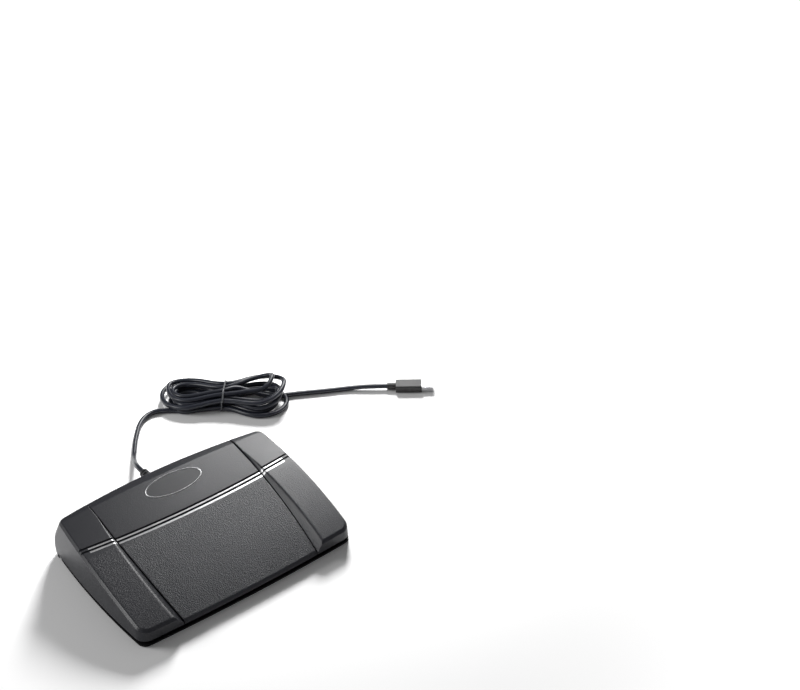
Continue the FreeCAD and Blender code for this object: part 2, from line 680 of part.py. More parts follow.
def side_treadle(side):
    block = beveled_block(SIDE_TOP, SIDE_TOE_HEIGHT, EDGE_BEVEL)
    shell = block.common(side_region(side, SEAM_GAP / 2)).cut(cove(side))
    for cutter in grooves(SIDE_TOP):
        shell = shell.cut(cutter)
    room = hull(SIDE_WALL).common(under_top(lowered(SIDE_TOP, TOP_WALL)))
    room = room.cut(heel_band(lowered(SIDE_TOP, TOP_WALL)))
    room = room.common(side_region(side, SEAM_GAP / 2 + SEAM_WALL)).cut(cove_backing(side))
    shell = shell.cut(room).cut(floor_opening(side_region(side, SEAM_GAP / 2 + SEAM_WALL)))
    shell = shell.cut(board_notch().common(side_region(side, -5)).cut(side_region(side, SEAM_WALL + 2)))
    seam = SEAM_HEEL_SPACING / 2 + SEAM_GAP / 2
    outer = inner_side_x(PIVOT_Y)
    additions = [boss(seam, seam + SEAM_WALL + SEAM_BOSS_LENGTH),
                 boss(outer - OUTER_BOSS_LENGTH, outer + SIDE_WALL / 2)]
    for shape in additions:
        if side < 0:
            shape.rotate(Vector(0, PIVOT_Y, 0), UP, 180)
    additions += [stop_rib(side * SIDE_STOP_X, SIDE_TOP),
                  keeper_hook(side * SIDE_KEEPER_X, SIDE_TOP),
                  spring_pad(side * SIDE_SPRING_X, SIDE_TOP, SIDE_PAD_HEIGHT),
                  actuator(side * SIDE_SWITCH_X, SIDE_TOP)]
    shell = fuse_all([shell] + additions)
    bore = shaft_bore(SHAFT_LENGTH / 2 + BOSS_BORE_END - seam + 2, seam - 2)
    if side < 0:
        bore.rotate(Vector(0, PIVOT_Y, 0), UP, 180)
    return shell.cut(bore)


def floor_opening(region):
    """The open underside between the skirts."""
    draft = SKIRT_TOE_HEIGHT * math.tan(math.radians(SIDE_DRAFT))
    heel = heel_profile(HEEL_BOTTOM, 0) - SIDE_WALL
    face = Part.Face(outline(-1, SIDE_WALL + draft, heel))
    return face.extrude(Vector(0, 0, 7)).common(region)


def cove_backing(side):
    """Solid left behind the sloping face so that its wall keeps its thickness."""
    backing = cove(side)
    backing.translate(Vector(side * SEAM_WALL, 0, -TOP_WALL))
    return backing


def centre_treadle():
    block = beveled_block(CENTRE_TOP, CENTRE_TOE_HEIGHT, CENTRE_TOE_BEVEL)
    shell = block.common(centre_region(-SEAM_GAP / 2))
    for cutter in grooves(CENTRE_TOP):
        shell = shell.cut(cutter)
    room = hull(SIDE_WALL).common(under_top(lowered(CENTRE_TOP, TOP_WALL)))
    room = room.cut(heel_band(lowered(CENTRE_TOP, TOP_WALL)))
    inside = centre_region(-SEAM_GAP / 2 - SEAM_WALL)
    shell = shell.cut(room.common(inside)).cut(floor_opening(inside))
    seam = SEAM_HEEL_SPACING / 2 - SEAM_GAP / 2
    notch = board_notch().common(centre_region(5)).cut(centre_region(-SEAM_WALL - 2))
    shell = shell.cut(notch)
    length = SEAM_WALL + SEAM_BOSS_LENGTH
    additions = [boss(seam - length, seam), boss(-seam, -seam + length)]
    for side in SIDES.values():
        additions.append(stop_rib(side * CENTRE_STOP_X, CENTRE_TOP))
        additions.append(keeper_hook(side * CENTRE_KEEPER_SPACING / 2, CENTRE_TOP))
        additions.append(spring_pad(side * CENTRE_SPRING_SPACING / 2, CENTRE_TOP, CENTRE_PAD_HEIGHT))
    additions.append(actuator(0, CENTRE_TOP))
    shell = fuse_all([shell] + additions)
    shell = shell.cut(shaft_bore(2 * seam + 4, -seam - 2))
    hole_length = BRACKET_FROM_HEEL + RELIEF_END_PAST_HEEL
    shell = shell.cut(rod(RELIEF_HOLE_DIAMETER, (EXIT_X, BRACKET_Y, EXIT_HEIGHT), ALONG_Y, hole_length))
    return shell.cut(badge_blank(BADGE_CLEARANCE, BADGE_RECESS))


# Badge

def badge_blank(clearance, depth):
    """Oval standing square to the centre top, from the recess floor up."""
    z = top_height(CENTRE_TOP, BADGE_Y)
    tilt = math.degrees(math.asin((BADGE_Y - CENTRE_TOP[0]) / CENTRE_TOP[2]))
    curve = Part.Ellipse(Vector(0, 0, 0), BADGE_LENGTH / 2 + clearance, BADGE_DEPTH / 2 + clearance)
    oval = Part.Face(Part.Wire(curve.toShape())).extrude(Vector(0, 0, 20))
    oval.translate(Vector(BADGE_X, BADGE_Y, z - depth))
    oval.rotate(Vector(BADGE_X, BADGE_Y, z), ALONG_X, -tilt)
    return oval


def oval_badge():
    """Bare oval plate with a raised rim, let into the top."""
    plate = badge_blank(0, BADGE_RECESS).common(under_top(lowered(CENTRE_TOP, -0.05)))
    rim = badge_blank(0, BADGE_RECESS).common(under_top(lowered(CENTRE_TOP, -0.35)))
    rim = rim.cut(badge_blank(-BADGE_RIM, BADGE_RECESS))
    return fuse_all([plate, rim])


# Base plate and what stands on it

def screw(x, y, seat, end=None):
    """Pan-head screw whose head rests at height seat."""
    end = BASE_BOTTOM + 0.2 if end is None else end
    shank = rod(SCREW_DIAMETER, (x, y, end), UP, seat - end)
    head = rod(SCREW_HEAD_DIAMETER, (x, y, seat), UP, SCREW_HEAD_HEIGHT)
    head = head.makeFillet(SCREW_HEAD_HEIGHT * 0.45, [head.Edges[0]])
    slot = box(x - SCREW_HEAD_DIAMETER / 2, x + SCREW_HEAD_DIAMETER / 2, y - 0.4, y + 0.4,
               seat + SCREW_HEAD_HEIGHT * 0.55, seat + SCREW_HEAD_HEIGHT + 1)
    return fuse_all([shank, head]).cut(slot)


def screw_hole(x, y, bottom, top):
    return rod(SCREW_DIAMETER + 2 * SCREW_HOLE_CLEARANCE, (x, y, bottom), UP, top - bottom)


STAND_PLACES = {"left_outer_stand": (-OUTER_STAND_X, 1),
                "left_inner_stand": (-INNER_STAND_X, 1),
                "right_inner_stand": (INNER_STAND_X, -1),
                "right_outer_stand": (OUTER_STAND_X, -1)}


def stand_screw_places():
    places = []
    for x, inward in STAND_PLACES.values():
        screw_x = x + inward * (STAND_FOOT_WIDTH / 2 + STAND_THICKNESS / 2)
        for way in (-1, 1):
            places.append((screw_x, PIVOT_Y + way * (STAND_FOOT_LENGTH / 2 - 5)))
    return places


def keeper_places():
    return [side * x for x in (SIDE_KEEPER_X, CENTRE_KEEPER_SPACING / 2) for side in SIDES.values()]


def keeper_screw_y():
    return TOE_Y + KEEPER_FROM_TOE + KEEPER_LIP_LENGTH + KEEPER_SCREW_FROM_LIP


def standoff_places():
    y0, y1 = BOARD_Y0 + BOARD_HOLE_EDGE, BOARD_Y1 - BOARD_HOLE_EDGE
    outer, inner = BOARD_LENGTH / 2 - BOARD_HOLE_EDGE, BOARD_INNER_HOLE_SPACING / 2
    return [(-outer, y1), (outer, y1), (-inner, y0), (inner, y0)]


def clamp_screw_places():
    return [(EXIT_X + side * (CLAMP_WIDTH / 2 - 2.4), CLAMP_Y) for side in SIDES.values()]


def bracket_screw_places():
    y = BRACKET_Y - BRACKET_FOOT / 2
    return [(EXIT_X + side * (BRACKET_WIDTH / 2 - 3.4), y) for side in SIDES.values()]


def foot_places():
    places = [(0, TOE_Y + MIDDLE_TOE_FOOT_FROM_TOE), (0, TOE_Y + MIDDLE_FOOT_FROM_TOE)]
    for side in SIDES.values():
        places.append((side * TOE_FOOT_X, TOE_Y + TOE_FOOT_FROM_TOE))
        places.append((side * HEEL_FOOT_X, HEEL_Y - HEEL_FOOT_FROM_HEEL))
    return places


def spring_places():
    y = TOE_Y + SPRING_FROM_TOE
    return {"left_spring": (-SIDE_SPRING_X, y),
            "centre_left_spring": (-CENTRE_SPRING_SPACING / 2, y),
            "centre_right_spring": (CENTRE_SPRING_SPACING / 2, y),
            "right_spring": (SIDE_SPRING_X, y)}


def base_plate():
    face = Part.Face(outline(BASE_BOTTOM, BASE_INSET, HEEL_Y - BASE_HEEL_INSET))
    plate = face.extrude(Vector(0, 0, BASE_THICKNESS))
    holes = stand_screw_places() + clamp_screw_places() + bracket_screw_places() + standoff_places()
    holes += [(x, keeper_screw_y()) for x in keeper_places()]
    cutters = [screw_hole(x, y, BASE_BOTTOM - 1, BASE_TOP + 1) for x, y in holes]
    cutters += [rod(FOOT_NECK_DIAMETER, (x, y, 0), UP, BASE_TOP + 1) for x, y in foot_places()]
    return plate.cut(Part.makeCompound(cutters))


def rubber_feet():
    feet = []
    for x, y in foot_places():
        pad = rod(FOOT_DIAMETER, (x, y, 0), UP, FOOT_HEIGHT)
        neck = rod(FOOT_NECK_DIAMETER, (x, y, 0), UP, BASE_TOP)
        head = rod(FOOT_HEAD_DIAMETER, (x, y, BASE_TOP), UP, FOOT_HEAD_HEIGHT)
        feet.append(fuse_all([pad, neck, head]))
    return feet


def stand(x, inward):
    """Folded steel stand that carries the hinge shaft in a bush."""
    top = PIVOT_HEIGHT
    half = STAND_WIDTH / 2
    x0 = x - STAND_THICKNESS / 2
    upright = box(x0, x0 + STAND_THICKNESS, PIVOT_Y - half, PIVOT_Y + half, BASE_TOP, top)
    crown = rod(STAND_WIDTH, (x0, PIVOT_Y, top), ALONG_X, STAND_THICKNESS)
    edge = x + inward * STAND_THICKNESS / 2
    ends = sorted((edge - inward * STAND_THICKNESS, edge + inward * STAND_FOOT_WIDTH))
    foot = box(ends[0], ends[1], PIVOT_Y - STAND_FOOT_LENGTH / 2, PIVOT_Y + STAND_FOOT_LENGTH / 2,
               BASE_TOP, BASE_TOP + SHEET_THICKNESS)
    body = fuse_all([upright, crown, foot])
    body = body.cut(rod(BUSH_DIAMETER, (x0 - 1, PIVOT_Y, top), ALONG_X, STAND_THICKNESS + 2))
    for sx, sy in stand_screw_places():
        body = body.cut(screw_hole(sx, sy, BASE_TOP - 1, BASE_TOP + SHEET_THICKNESS + 1))
    return body


def stand_bush(x):
    half = STAND_THICKNESS / 2
    sleeve = rod(BUSH_DIAMETER, (x - half, PIVOT_Y, PIVOT_HEIGHT), ALONG_X, STAND_THICKNESS)
    parts = [sleeve]
    for start in (x - half - BUSH_FLANGE, x + half):
        parts.append(rod(BUSH_FLANGE_DIAMETER, (start, PIVOT_Y, PIVOT_HEIGHT), ALONG_X, BUSH_FLANGE))
    return fuse_all(parts).cut(shaft_bore(20, x - 10))


def clip_x():
    return OUTER_STAND_X + STAND_THICKNESS / 2 + BUSH_FLANGE + CLIP_GAP


def hinge_shaft():
    shaft = rod(SHAFT_DIAMETER, (-SHAFT_LENGTH / 2, PIVOT_Y, PIVOT_HEIGHT), ALONG_X, SHAFT_LENGTH)
    shaft = shaft.makeChamfer(0.5, [e for e in shaft.Edges if len(e.Vertexes) == 1])
    for side in SIDES.values():
        start = min(side * clip_x(), side * (clip_x() + CLIP_THICKNESS))
        ring = rod(SHAFT_DIAMETER + 2, (start, PIVOT_Y, PIVOT_HEIGHT), ALONG_X, CLIP_THICKNESS)
        core = rod(CLIP_GROOVE_DIAMETER, (start, PIVOT_Y, PIVOT_HEIGHT), ALONG_X, CLIP_THICKNESS)
        shaft = shaft.cut(ring.cut(core))
    return shaft


def shaft_clip(side):
    start = min(side * clip_x(), side * (clip_x() + CLIP_THICKNESS))
    ring = rod(CLIP_DIAMETER, (start, PIVOT_Y, PIVOT_HEIGHT), ALONG_X, CLIP_THICKNESS)
    bore = rod(CLIP_GROOVE_DIAMETER, (start - 1, PIVOT_Y, PIVOT_HEIGHT), ALONG_X, CLIP_THICKNESS + 2)
    ring = ring.cut(bore)
    half = CLIP_GROOVE_DIAMETER * 0.4
    low = PIVOT_HEIGHT - CLIP_DIAMETER
    mouth = box(start - 1, start + 2, PIVOT_Y - half, PIVOT_Y + half, low, PIVOT_HEIGHT)
    return ring.cut(mouth)


def bump_stops():
    stops = []
    y = TOE_Y + STOP_FROM_TOE
    for x in (SIDE_STOP_X, CENTRE_STOP_X):
        for side in SIDES.values():
            pad = rod(STOP_DIAMETER, (side * x, y, BASE_TOP), UP, STOP_HEIGHT)
            stops.append(pad.makeFillet(1.0, [pad.Edges[0]]))
    return stops


def keeper(x):
    """Bent steel hook that stops a treadle from rising past its rest."""
    half = KEEPER_WIDTH / 2
    y0 = TOE_Y + KEEPER_FROM_TOE
    y1 = y0 + KEEPER_LIP_LENGTH
    lip_z = BASE_TOP + KEEPER_LIP_HEIGHT
    lip = box(x - half, x + half, y0, y1, lip_z, lip_z + SHEET_THICKNESS)
    upright = box(x - half, x + half, y1 - SHEET_THICKNESS, y1, BASE_TOP, lip_z + SHEET_THICKNESS)
    foot_end = keeper_screw_y() + KEEPER_FOOT_PAST_SCREW
    foot = box(x - half, x + half, y1 - SHEET_THICKNESS, foot_end, BASE_TOP, BASE_TOP + SHEET_THICKNESS)
    hole = screw_hole(x, keeper_screw_y(), BASE_TOP - 1, BASE_TOP + SHEET_THICKNESS + 1)
    return fuse_all([lip, upright, foot]).cut(hole)


def spring_seat(x, y):
    disc = rod(SPRING_SEAT_DIAMETER, (x, y, BASE_TOP), UP, SPRING_SEAT_HEIGHT)
    height = SPRING_SEAT_HEIGHT + SPRING_SPIGOT_HEIGHT
    return fuse_all([disc, rod(SPRING_SPIGOT_DIAMETER, (x, y, BASE_TOP), UP, height)])


def return_spring(x, y, pad_height, turns):
    """Open coil between its seat on the base and the pad under the treadle."""
    bottom = BASE_TOP + SPRING_SEAT_HEIGHT + SPRING_END_GAP + SPRING_WIRE / 2
    height = pad_height - SPRING_END_GAP - SPRING_WIRE / 2 - bottom
    radius = SPRING_MEAN_DIAMETER / 2
    helix = Part.makeHelix(height / turns, height, radius)
    section = Part.Wire(Part.makeCircle(SPRING_WIRE / 2, Vector(radius, 0, 0), ALONG_Y))
    coil = Part.Wire(helix.Edges).makePipeShell([section], True, True)
    coil.translate(Vector(x, y, bottom))
    return coil


# Circuit board

def circuit_board():
    board = box(-BOARD_LENGTH / 2, BOARD_LENGTH / 2, BOARD_Y0, BOARD_Y1, BOARD_BOTTOM, BOARD_TOP)
    upright = [e for e in board.Edges if abs(e.BoundBox.ZLength - BOARD_THICKNESS) < 0.01]
    board = board.makeFillet(2.0, upright)
    cutters = [screw_hole(x, y, BOARD_BOTTOM - 1, BOARD_TOP + 1) for x, y in standoff_places()]
    for x in switch_places().values():
        for pin_x in switch_pin_places(x):
            cutters.append(rod(SWITCH_PIN_DIAMETER, (pin_x, SWITCH_Y, BOARD_BOTTOM - 1), UP, 4))
    return board.cut(Part.makeCompound(cutters))


def standoff(x, y):
    post = rod(STANDOFF_DIAMETER, (x, y, BASE_TOP), UP, STANDOFF_HEIGHT)
    return post.cut(screw_hole(x, y, BASE_TOP - 1, BOARD_BOTTOM + 1))


def switch_places():
    return {"left": -SIDE_SWITCH_X, "centre": 0.0, "right": SIDE_SWITCH_X}


def switch_pin_places(x):
    return [x - SWITCH_PIN_SPACING, x, x + SWITCH_PIN_SPACING]


def switch_body(x):
    body = box(x - SWITCH_LENGTH / 2, x + SWITCH_LENGTH / 2, SWITCH_Y - SWITCH_WIDTH / 2,
               SWITCH_Y + SWITCH_WIDTH / 2, BOARD_TOP, SWITCH_TOP)
    body = body.makeFillet(0.5, [e for e in body.Edges if e.BoundBox.ZMin > SWITCH_TOP - 0.01])
    pin_z = BOARD_TOP - SWITCH_PIN_LENGTH
    pins = [rod(SWITCH_PIN_DIAMETER, (px, SWITCH_Y, pin_z), UP, SWITCH_PIN_LENGTH + 0.5)
            for px in switch_pin_places(x)]
    well = rod(BUTTON_DIAMETER + 2 * BUTTON_CLEARANCE, (x, SWITCH_Y, SWITCH_TOP - BUTTON_WELL), UP, 20)
    return fuse_all([body] + pins).cut(well)


def switch_button(x):
    length = BUTTON_PROUD + BUTTON_BURIED
    button = rod(BUTTON_DIAMETER, (x, SWITCH_Y, SWITCH_TOP - BUTTON_BURIED), UP, length)
    return button.makeFillet(0.4, [button.Edges[0]])


def cable_connector():
    y1 = BOARD_Y1 - CONNECTOR_FROM_BOARD_EDGE
    x0, x1 = EXIT_X - CONNECTOR_LENGTH / 2, EXIT_X + CONNECTOR_LENGTH / 2
    top = BOARD_TOP + CONNECTOR_HEIGHT
    body = box(x0, x1, y1 - CONNECTOR_DEPTH, y1, BOARD_TOP, top)
    return body.makeChamfer(0.6, [e for e in body.Edges if e.BoundBox.ZMin > top - 0.01])


def connector_face_y():
    return BOARD_Y1 - CONNECTOR_FROM_BOARD_EDGE


def controller_chip():
    y = BOARD_Y0 + CHIP_FROM_BOARD_EDGE
    half = CHIP_SIZE / 2
    body = box(CHIP_X - half, CHIP_X + half, y - half, y + half, BOARD_TOP, BOARD_TOP + CHIP_THICKNESS)
    legs = []
    reach = half + CHIP_LEG_REACH
    for i in range(CHIP_LEGS):
        x0 = CHIP_X + (i - (CHIP_LEGS - 1) / 2) * CHIP_LEG_PITCH - CHIP_LEG_WIDTH / 2
        legs.append(box(x0, x0 + CHIP_LEG_WIDTH, y - reach, y + reach, BOARD_TOP,
                        BOARD_TOP + CHIP_LEG_THICKNESS))
    return fuse_all([body] + legs)


def board_parts():
    """Capacitors and resistors that a small board carries."""
    parts = [rod(CAPACITOR_DIAMETER, (x, BOARD_Y0 + y, BOARD_TOP), UP, CAPACITOR_HEIGHT)
             for x, y in CAPACITOR_PLACES]
    y = BOARD_Y0 + RESISTOR_FROM_BOARD_EDGE
    for i in range(RESISTORS):
        x = RESISTOR_FIRST_X + i * RESISTOR_PITCH
        parts.append(box(x, x + RESISTOR_LENGTH, y, y + RESISTOR_WIDTH, BOARD_TOP,
                         BOARD_TOP + RESISTOR_HEIGHT))
    return parts


# Cable

def route_edges(points):
    """Straight runs joined by tangent arcs, with the arcs' radii."""
    points = [Vector(*p) for p in points]
    edges, radii = [], []
    last = points[0]
    for before, corner, after in zip(points, points[1:], points[2:]):
        into, out = corner.sub(before), after.sub(corner)
        turn = into.getAngle(out)
        cut = 0.45 * min(into.Length, out.Length)
        into.normalize()
        out.normalize()
        start, end = corner.sub(into * cut), corner.add(out * cut)
        radius = cut / math.tan(turn / 2)
        centre_way = out.sub(into).normalize()
        centre = corner.add(centre_way * (radius / math.cos(turn / 2)))
        middle = centre.sub(centre_way * radius)
        edges.append(Part.LineSegment(last, start).toShape())
        edges.append(Part.Arc(start, middle, end).toShape())
        radii.append(radius)
        last = end
    edges.append(Part.LineSegment(last, points[-1]).toShape())
    return edges, radii


def tube(edges, diameter, name):
    """A round tube along joined edges, with its length and volume printed."""
    path = Part.Wire(edges)
    start = path.Edges[0].valueAt(path.Edges[0].FirstParameter)
    way = path.Edges[0].tangentAt(path.Edges[0].FirstParameter)
    section = Part.Wire(Part.makeCircle(diameter / 2, start, way))
    body = path.makePipeShell([section], True, False)
    expected = math.pi * diameter ** 2 / 4 * path.Length
    print(name, "length", round(path.Length, 1), "volume over section times length",
          round(body.Volume / expected, 4), "valid", body.isValid())
    return body


def cord(points, name):
    edges, radii = route_edges(points)
    print(name, "arc radii", [round(r, 1) for r in radii])
    return tube(edges, CORD_DIAMETER, name)


def inner_cord_points():
    z = BOARD_TOP + CONNECTOR_HEIGHT / 2
    places = [(BRACKET_Y - RELIEF_FLANGE - SHEET_THICKNESS, EXIT_HEIGHT), (PIVOT_Y + 1, EXIT_HEIGHT),
              (connector_face_y() + 7, z), (connector_face_y(), z)]
    return [(EXIT_X, y, z) for y, z in places]


def strain_relief():
    """Rubber boot held in the rear bracket, with flex rings cut round its free end."""
    plate = BRACKET_Y
    front = plate - SHEET_THICKNESS
    end = HEEL_Y + RELIEF_END_PAST_HEEL
    flange, neck = RELIEF_FLANGE_DIAMETER / 2, RELIEF_NECK_DIAMETER / 2
    profile = [(front - RELIEF_FLANGE, 0), (front - RELIEF_FLANGE, flange), (front, flange),
               (front, neck), (plate, neck), (plate, flange), (plate + RELIEF_FLANGE, flange),
               (plate + RELIEF_FLANGE, RELIEF_DIAMETER / 2), (HEEL_Y + 1, RELIEF_DIAMETER / 2),
               (end - 0.8, RELIEF_END_DIAMETER / 2), (end, RELIEF_END_DIAMETER / 2 - 0.8), (end, 0)]
    points = [Vector(EXIT_X, y, EXIT_HEIGHT + r) for y, r in profile]
    face = Part.Face(Part.makePolygon(points + points[:1]))
    body = face.revolve(Vector(EXIT_X, 0, EXIT_HEIGHT), ALONG_Y, 360)
    for i in range(RELIEF_RINGS):
        place = (EXIT_X, end - RELIEF_FIRST_RING - i * RELIEF_RING_PITCH, EXIT_HEIGHT)
        ring = rod(RELIEF_DIAMETER + 4, place, ALONG_Y, RELIEF_RING_WIDTH)
        core = rod(RELIEF_END_DIAMETER - 2 * RELIEF_RING_DEPTH, place, ALONG_Y, RELIEF_RING_WIDTH)
        body = body.cut(ring.cut(core))
    return body


def relief_bracket():
    y1 = BRACKET_Y
    y0 = y1 - SHEET_THICKNESS
    half = BRACKET_WIDTH / 2
    x0, x1 = EXIT_X - half, EXIT_X + half
    upright = box(x0, x1, y0, y1, BASE_TOP, BRACKET_HEIGHT)
    foot = box(x0, x1, y1 - BRACKET_FOOT, y1, BASE_TOP, BASE_TOP + SHEET_THICKNESS)
    body = fuse_all([upright, foot])
    body = body.cut(rod(RELIEF_NECK_DIAMETER, (EXIT_X, y0 - 1, EXIT_HEIGHT), ALONG_Y, SHEET_THICKNESS + 2))
    for x, y in bracket_screw_places():
        body = body.cut(screw_hole(x, y, BASE_TOP - 1, BASE_TOP + SHEET_THICKNESS + 1))
    return body


def clamp_top():
    return EXIT_HEIGHT + CORD_RADIUS + CLAMP_OVER_CORD


def cord_clamp():
    y = CLAMP_Y
    half, deep = CLAMP_WIDTH / 2, CLAMP_DEPTH / 2
    body = box(EXIT_X - half, EXIT_X + half, y - deep, y + deep, BASE_TOP, clamp_top())
    bore = CORD_DIAMETER + 2 * CLAMP_CLEARANCE
    body = body.cut(rod(bore, (EXIT_X, y - CLAMP_DEPTH, EXIT_HEIGHT), ALONG_Y, 2 * CLAMP_DEPTH))
    for x, hole_y in clamp_screw_places():
        body = body.cut(screw_hole(x, hole_y, BASE_TOP - 1, clamp_top() + 1))
    return body


# Hank

def hank_point(along, across, z):
    turn = math.radians(HANK_TURN)
    x = HANK_X + along * math.cos(turn) - across * math.sin(turn)
    y = HANK_Y + along * math.sin(turn) + across * math.cos(turn)
    return Vector(x, y, z)


def hank_way(along, across):
    return hank_point(along, across, 0).sub(hank_point(0, 0, 0)).normalize()


def hank_stations():
    """Eight places a loop, with the way the cable runs there, from the first lobe to the last.

    The waist is raised by the tie under it, and the right end by the cable that leaves below it.
    """
    lobe, reach = HANK_LOBE_PLACE, HANK_HALF_LENGTH
    wide, waist = HANK_LOBE_HALF_WIDTH, HANK_WAIST_HALF_WIDTH
    tie = TIE_THICKNESS + TIE_CLEARANCE
    loop = [(-lobe, -wide, 0, (1, 0)), (0, -waist, tie, (1, 0)), (lobe, -wide, 0, (1, 0)),
            (reach, 0, HANK_TIP_LIFT, (0, 1)), (lobe, wide, 0, (-1, 0)), (0, waist, tie, (-1, 0)),
            (-lobe, wide, 0, (-1, 0)), (-reach, 0, 0, (0, -1))]
    period = 8 * TURNS_PER_LAYER
    last = period * HANK_LAYERS + 2
    stations = []
    for index in range(last):
        along, across, raised, way = loop[index % 8]
        # the spiral reverses, and the cable climbs a layer, at the front waist
        place = (index - 1) % (2 * period)
        inward = (place if place <= period else 2 * period - place) / 8 if index else -1 / 8
        climbs = [0.5 + (index - 1 - climb * period) / 4 for climb in range(1, HANK_LAYERS)]
        lift = sum(min(max(share, 0), 1) for share in climbs)
        step = inward * HANK_STEP
        if way[0] == 0:
            along *= 1 - step / abs(along)
        else:
            across *= 1 - step / abs(across)
        stations.append((along, across, CORD_RADIUS + raised + lift * HANK_LAYER_STEP, way))
    return stations


def biarc(start, start_way, end, end_way):
    """Two arcs that leave start and reach end along the given ways."""
    chord = end.sub(start)
    ways = start_way.add(end_way)
    a = 2 * (1 - start_way.dot(end_way))
    b = 2 * chord.dot(ways)
    c = -chord.dot(chord)
    if abs(a) < 1e-9:
        reach = -c / b
    else:
        reach = (-b + math.sqrt(b * b - 4 * a * c)) / (2 * a)
    joint = start.add(end).add(start_way.sub(end_way) * reach) * 0.5
    edges = []
    for first, last, corner in ((start, joint, start.add(start_way * reach)),
                                (joint, end, end.sub(end_way * reach))):
        half = last.sub(first).Length / 2
        middle = first.add(last) * 0.5
        rise = corner.sub(middle)
        if rise.Length < 1e-6:
            edges.append(Part.LineSegment(first, last).toShape())
            continue
        sagitta = half * math.sqrt(max(reach - half, 0) / (reach + half))
        bulge = middle.add(rise.normalize() * sagitta)
        edges.append(Part.Arc(first, bulge, last).toShape())
    return edges


def hank_edges():
    stations = hank_stations()
    places = [(hank_point(along, across, z), hank_way(*way)) for along, across, z, way in stations]
    edges = []
    for (start, start_way), (end, end_way) in zip(places, places[1:]):
        edges += biarc(start, start_way, end, end_way)
    lead_in = places[0][0].sub(places[0][1] * CORD_DIAMETER)
    lead_out = places[-1][0].add(places[-1][1] * CORD_DIAMETER)
    first = Part.LineSegment(lead_in, places[0][0]).toShape()
    last = Part.LineSegment(places[-1][0], lead_out).toShape()
    return [first] + edges + [last], lead_in, lead_out


def print_self_gap(edges):
    """Least gap between turns, measured on points along the cable."""
    points, run = [], 0.0
    for edge in edges:
        count = max(int(edge.Length / 1.5), 1)
        for i in range(count):
            share = i / count
            at = edge.FirstParameter + (edge.LastParameter - edge.FirstParameter) * share
            points.append((run + edge.Length * share, edge.valueAt(at)))
        run += edge.Length
    least = FAR
    for i, (place, point) in enumerate(points):
        for other_place, other in points[i + 1:]:
            if other_place - place > 3 * CORD_DIAMETER:
                least = min(least, point.distanceToPoint(other))
    print("hank least gap between turns", round(least - CORD_DIAMETER, 2), "length", round(run, 1))


def hank_tie():
    """Flat tie round the waist of the hank."""
    half = HANK_WAIST_HALF_WIDTH + CORD_RADIUS + TIE_CLEARANCE
    top = TIE_THICKNESS + (HANK_LAYERS - 1) * HANK_LAYER_STEP + CORD_DIAMETER + 2 * TIE_CLEARANCE
    wide = half + TIE_THICKNESS
    outer = box(-TIE_WIDTH / 2, TIE_WIDTH / 2, -wide, wide, 0, top + TIE_THICKNESS)
    inner = box(-TIE_WIDTH, TIE_WIDTH, -half, half, TIE_THICKNESS, top)
    band = outer.cut(inner)
    band.rotate(Vector(0, 0, 0), UP, HANK_TURN)
    band.translate(Vector(HANK_X, HANK_Y, 0))
    return band


# Plug

def plug_origin():
    """Where the cable enters the plug."""
    along, across, _ = CORD_TAIL_POINTS[-1]
    return hank_point(along + PLUG_RUN_ALONG, across + PLUG_RUN_ACROSS, PLUG_HEIGHT / 2)


def plug_place(shape):
    """Turn a piece drawn along +X from the cable's end to its place on the floor."""
    way = hank_way(PLUG_RUN_ALONG, PLUG_RUN_ACROSS)
    shape.rotate(Vector(0, 0, 0), UP, math.degrees(math.atan2(way.y, way.x)))
    shape.translate(plug_origin())
    return shape


def plug_body():
    """Moulded grip and neck, drawn along +X from the cable."""
    half_w, half_h = PLUG_WIDTH / 2, PLUG_HEIGHT / 2
    x0 = PLUG_NECK_LENGTH
    x1 = x0 + PLUG_LENGTH
    grip = box(x0, x1, -half_w, half_w, -half_h, half_h)
    grip = grip.makeFillet(PLUG_CORNER, [e for e in grip.Edges if e.BoundBox.XLength > 1])
    neck = rod(PLUG_NECK_DIAMETER, (0, 0, 0), ALONG_X, x0 + 1)
    socket = box(x1 - PLUG_NOSE, x1 + 1, -PLUG_SHELL_WIDTH / 2, PLUG_SHELL_WIDTH / 2,
                 -PLUG_SHELL_HEIGHT / 2, PLUG_SHELL_HEIGHT / 2)
    return fuse_all([grip, neck]).cut(socket)


def plug_shell():
    x0 = PLUG_NECK_LENGTH + PLUG_LENGTH - PLUG_NOSE
    x1 = PLUG_NECK_LENGTH + PLUG_LENGTH + PLUG_SHELL_LENGTH
    half_w, half_h, wall = PLUG_SHELL_WIDTH / 2, PLUG_SHELL_HEIGHT / 2, PLUG_SHELL_WALL
    shell = box(x0, x1, -half_w, half_w, -half_h, half_h)
    shell = shell.cut(box(x0 - 1, x1 + 1, -half_w + wall, half_w - wall, -half_h + wall, half_h - wall))
    windows = [box(x1 - 7.2, x1 - 5.0, y - 1.25, y + 1.25, -half_h - 1, half_h + 1) for y in (-3.0, 3.0)]
    return shell.cut(Part.makeCompound(windows))


def plug_tongue():
    x0 = PLUG_NECK_LENGTH + PLUG_LENGTH - PLUG_NOSE
    x1 = PLUG_NECK_LENGTH + PLUG_LENGTH + PLUG_SHELL_LENGTH - PLUG_TONGUE_SHORT
    half_w = PLUG_SHELL_WIDTH / 2 - PLUG_SHELL_WALL
    z1 = PLUG_SHELL_HEIGHT / 2 - PLUG_SHELL_WALL
    return box(x0, x1, -half_w, half_w, z1 - PLUG_TONGUE_HEIGHT, z1)


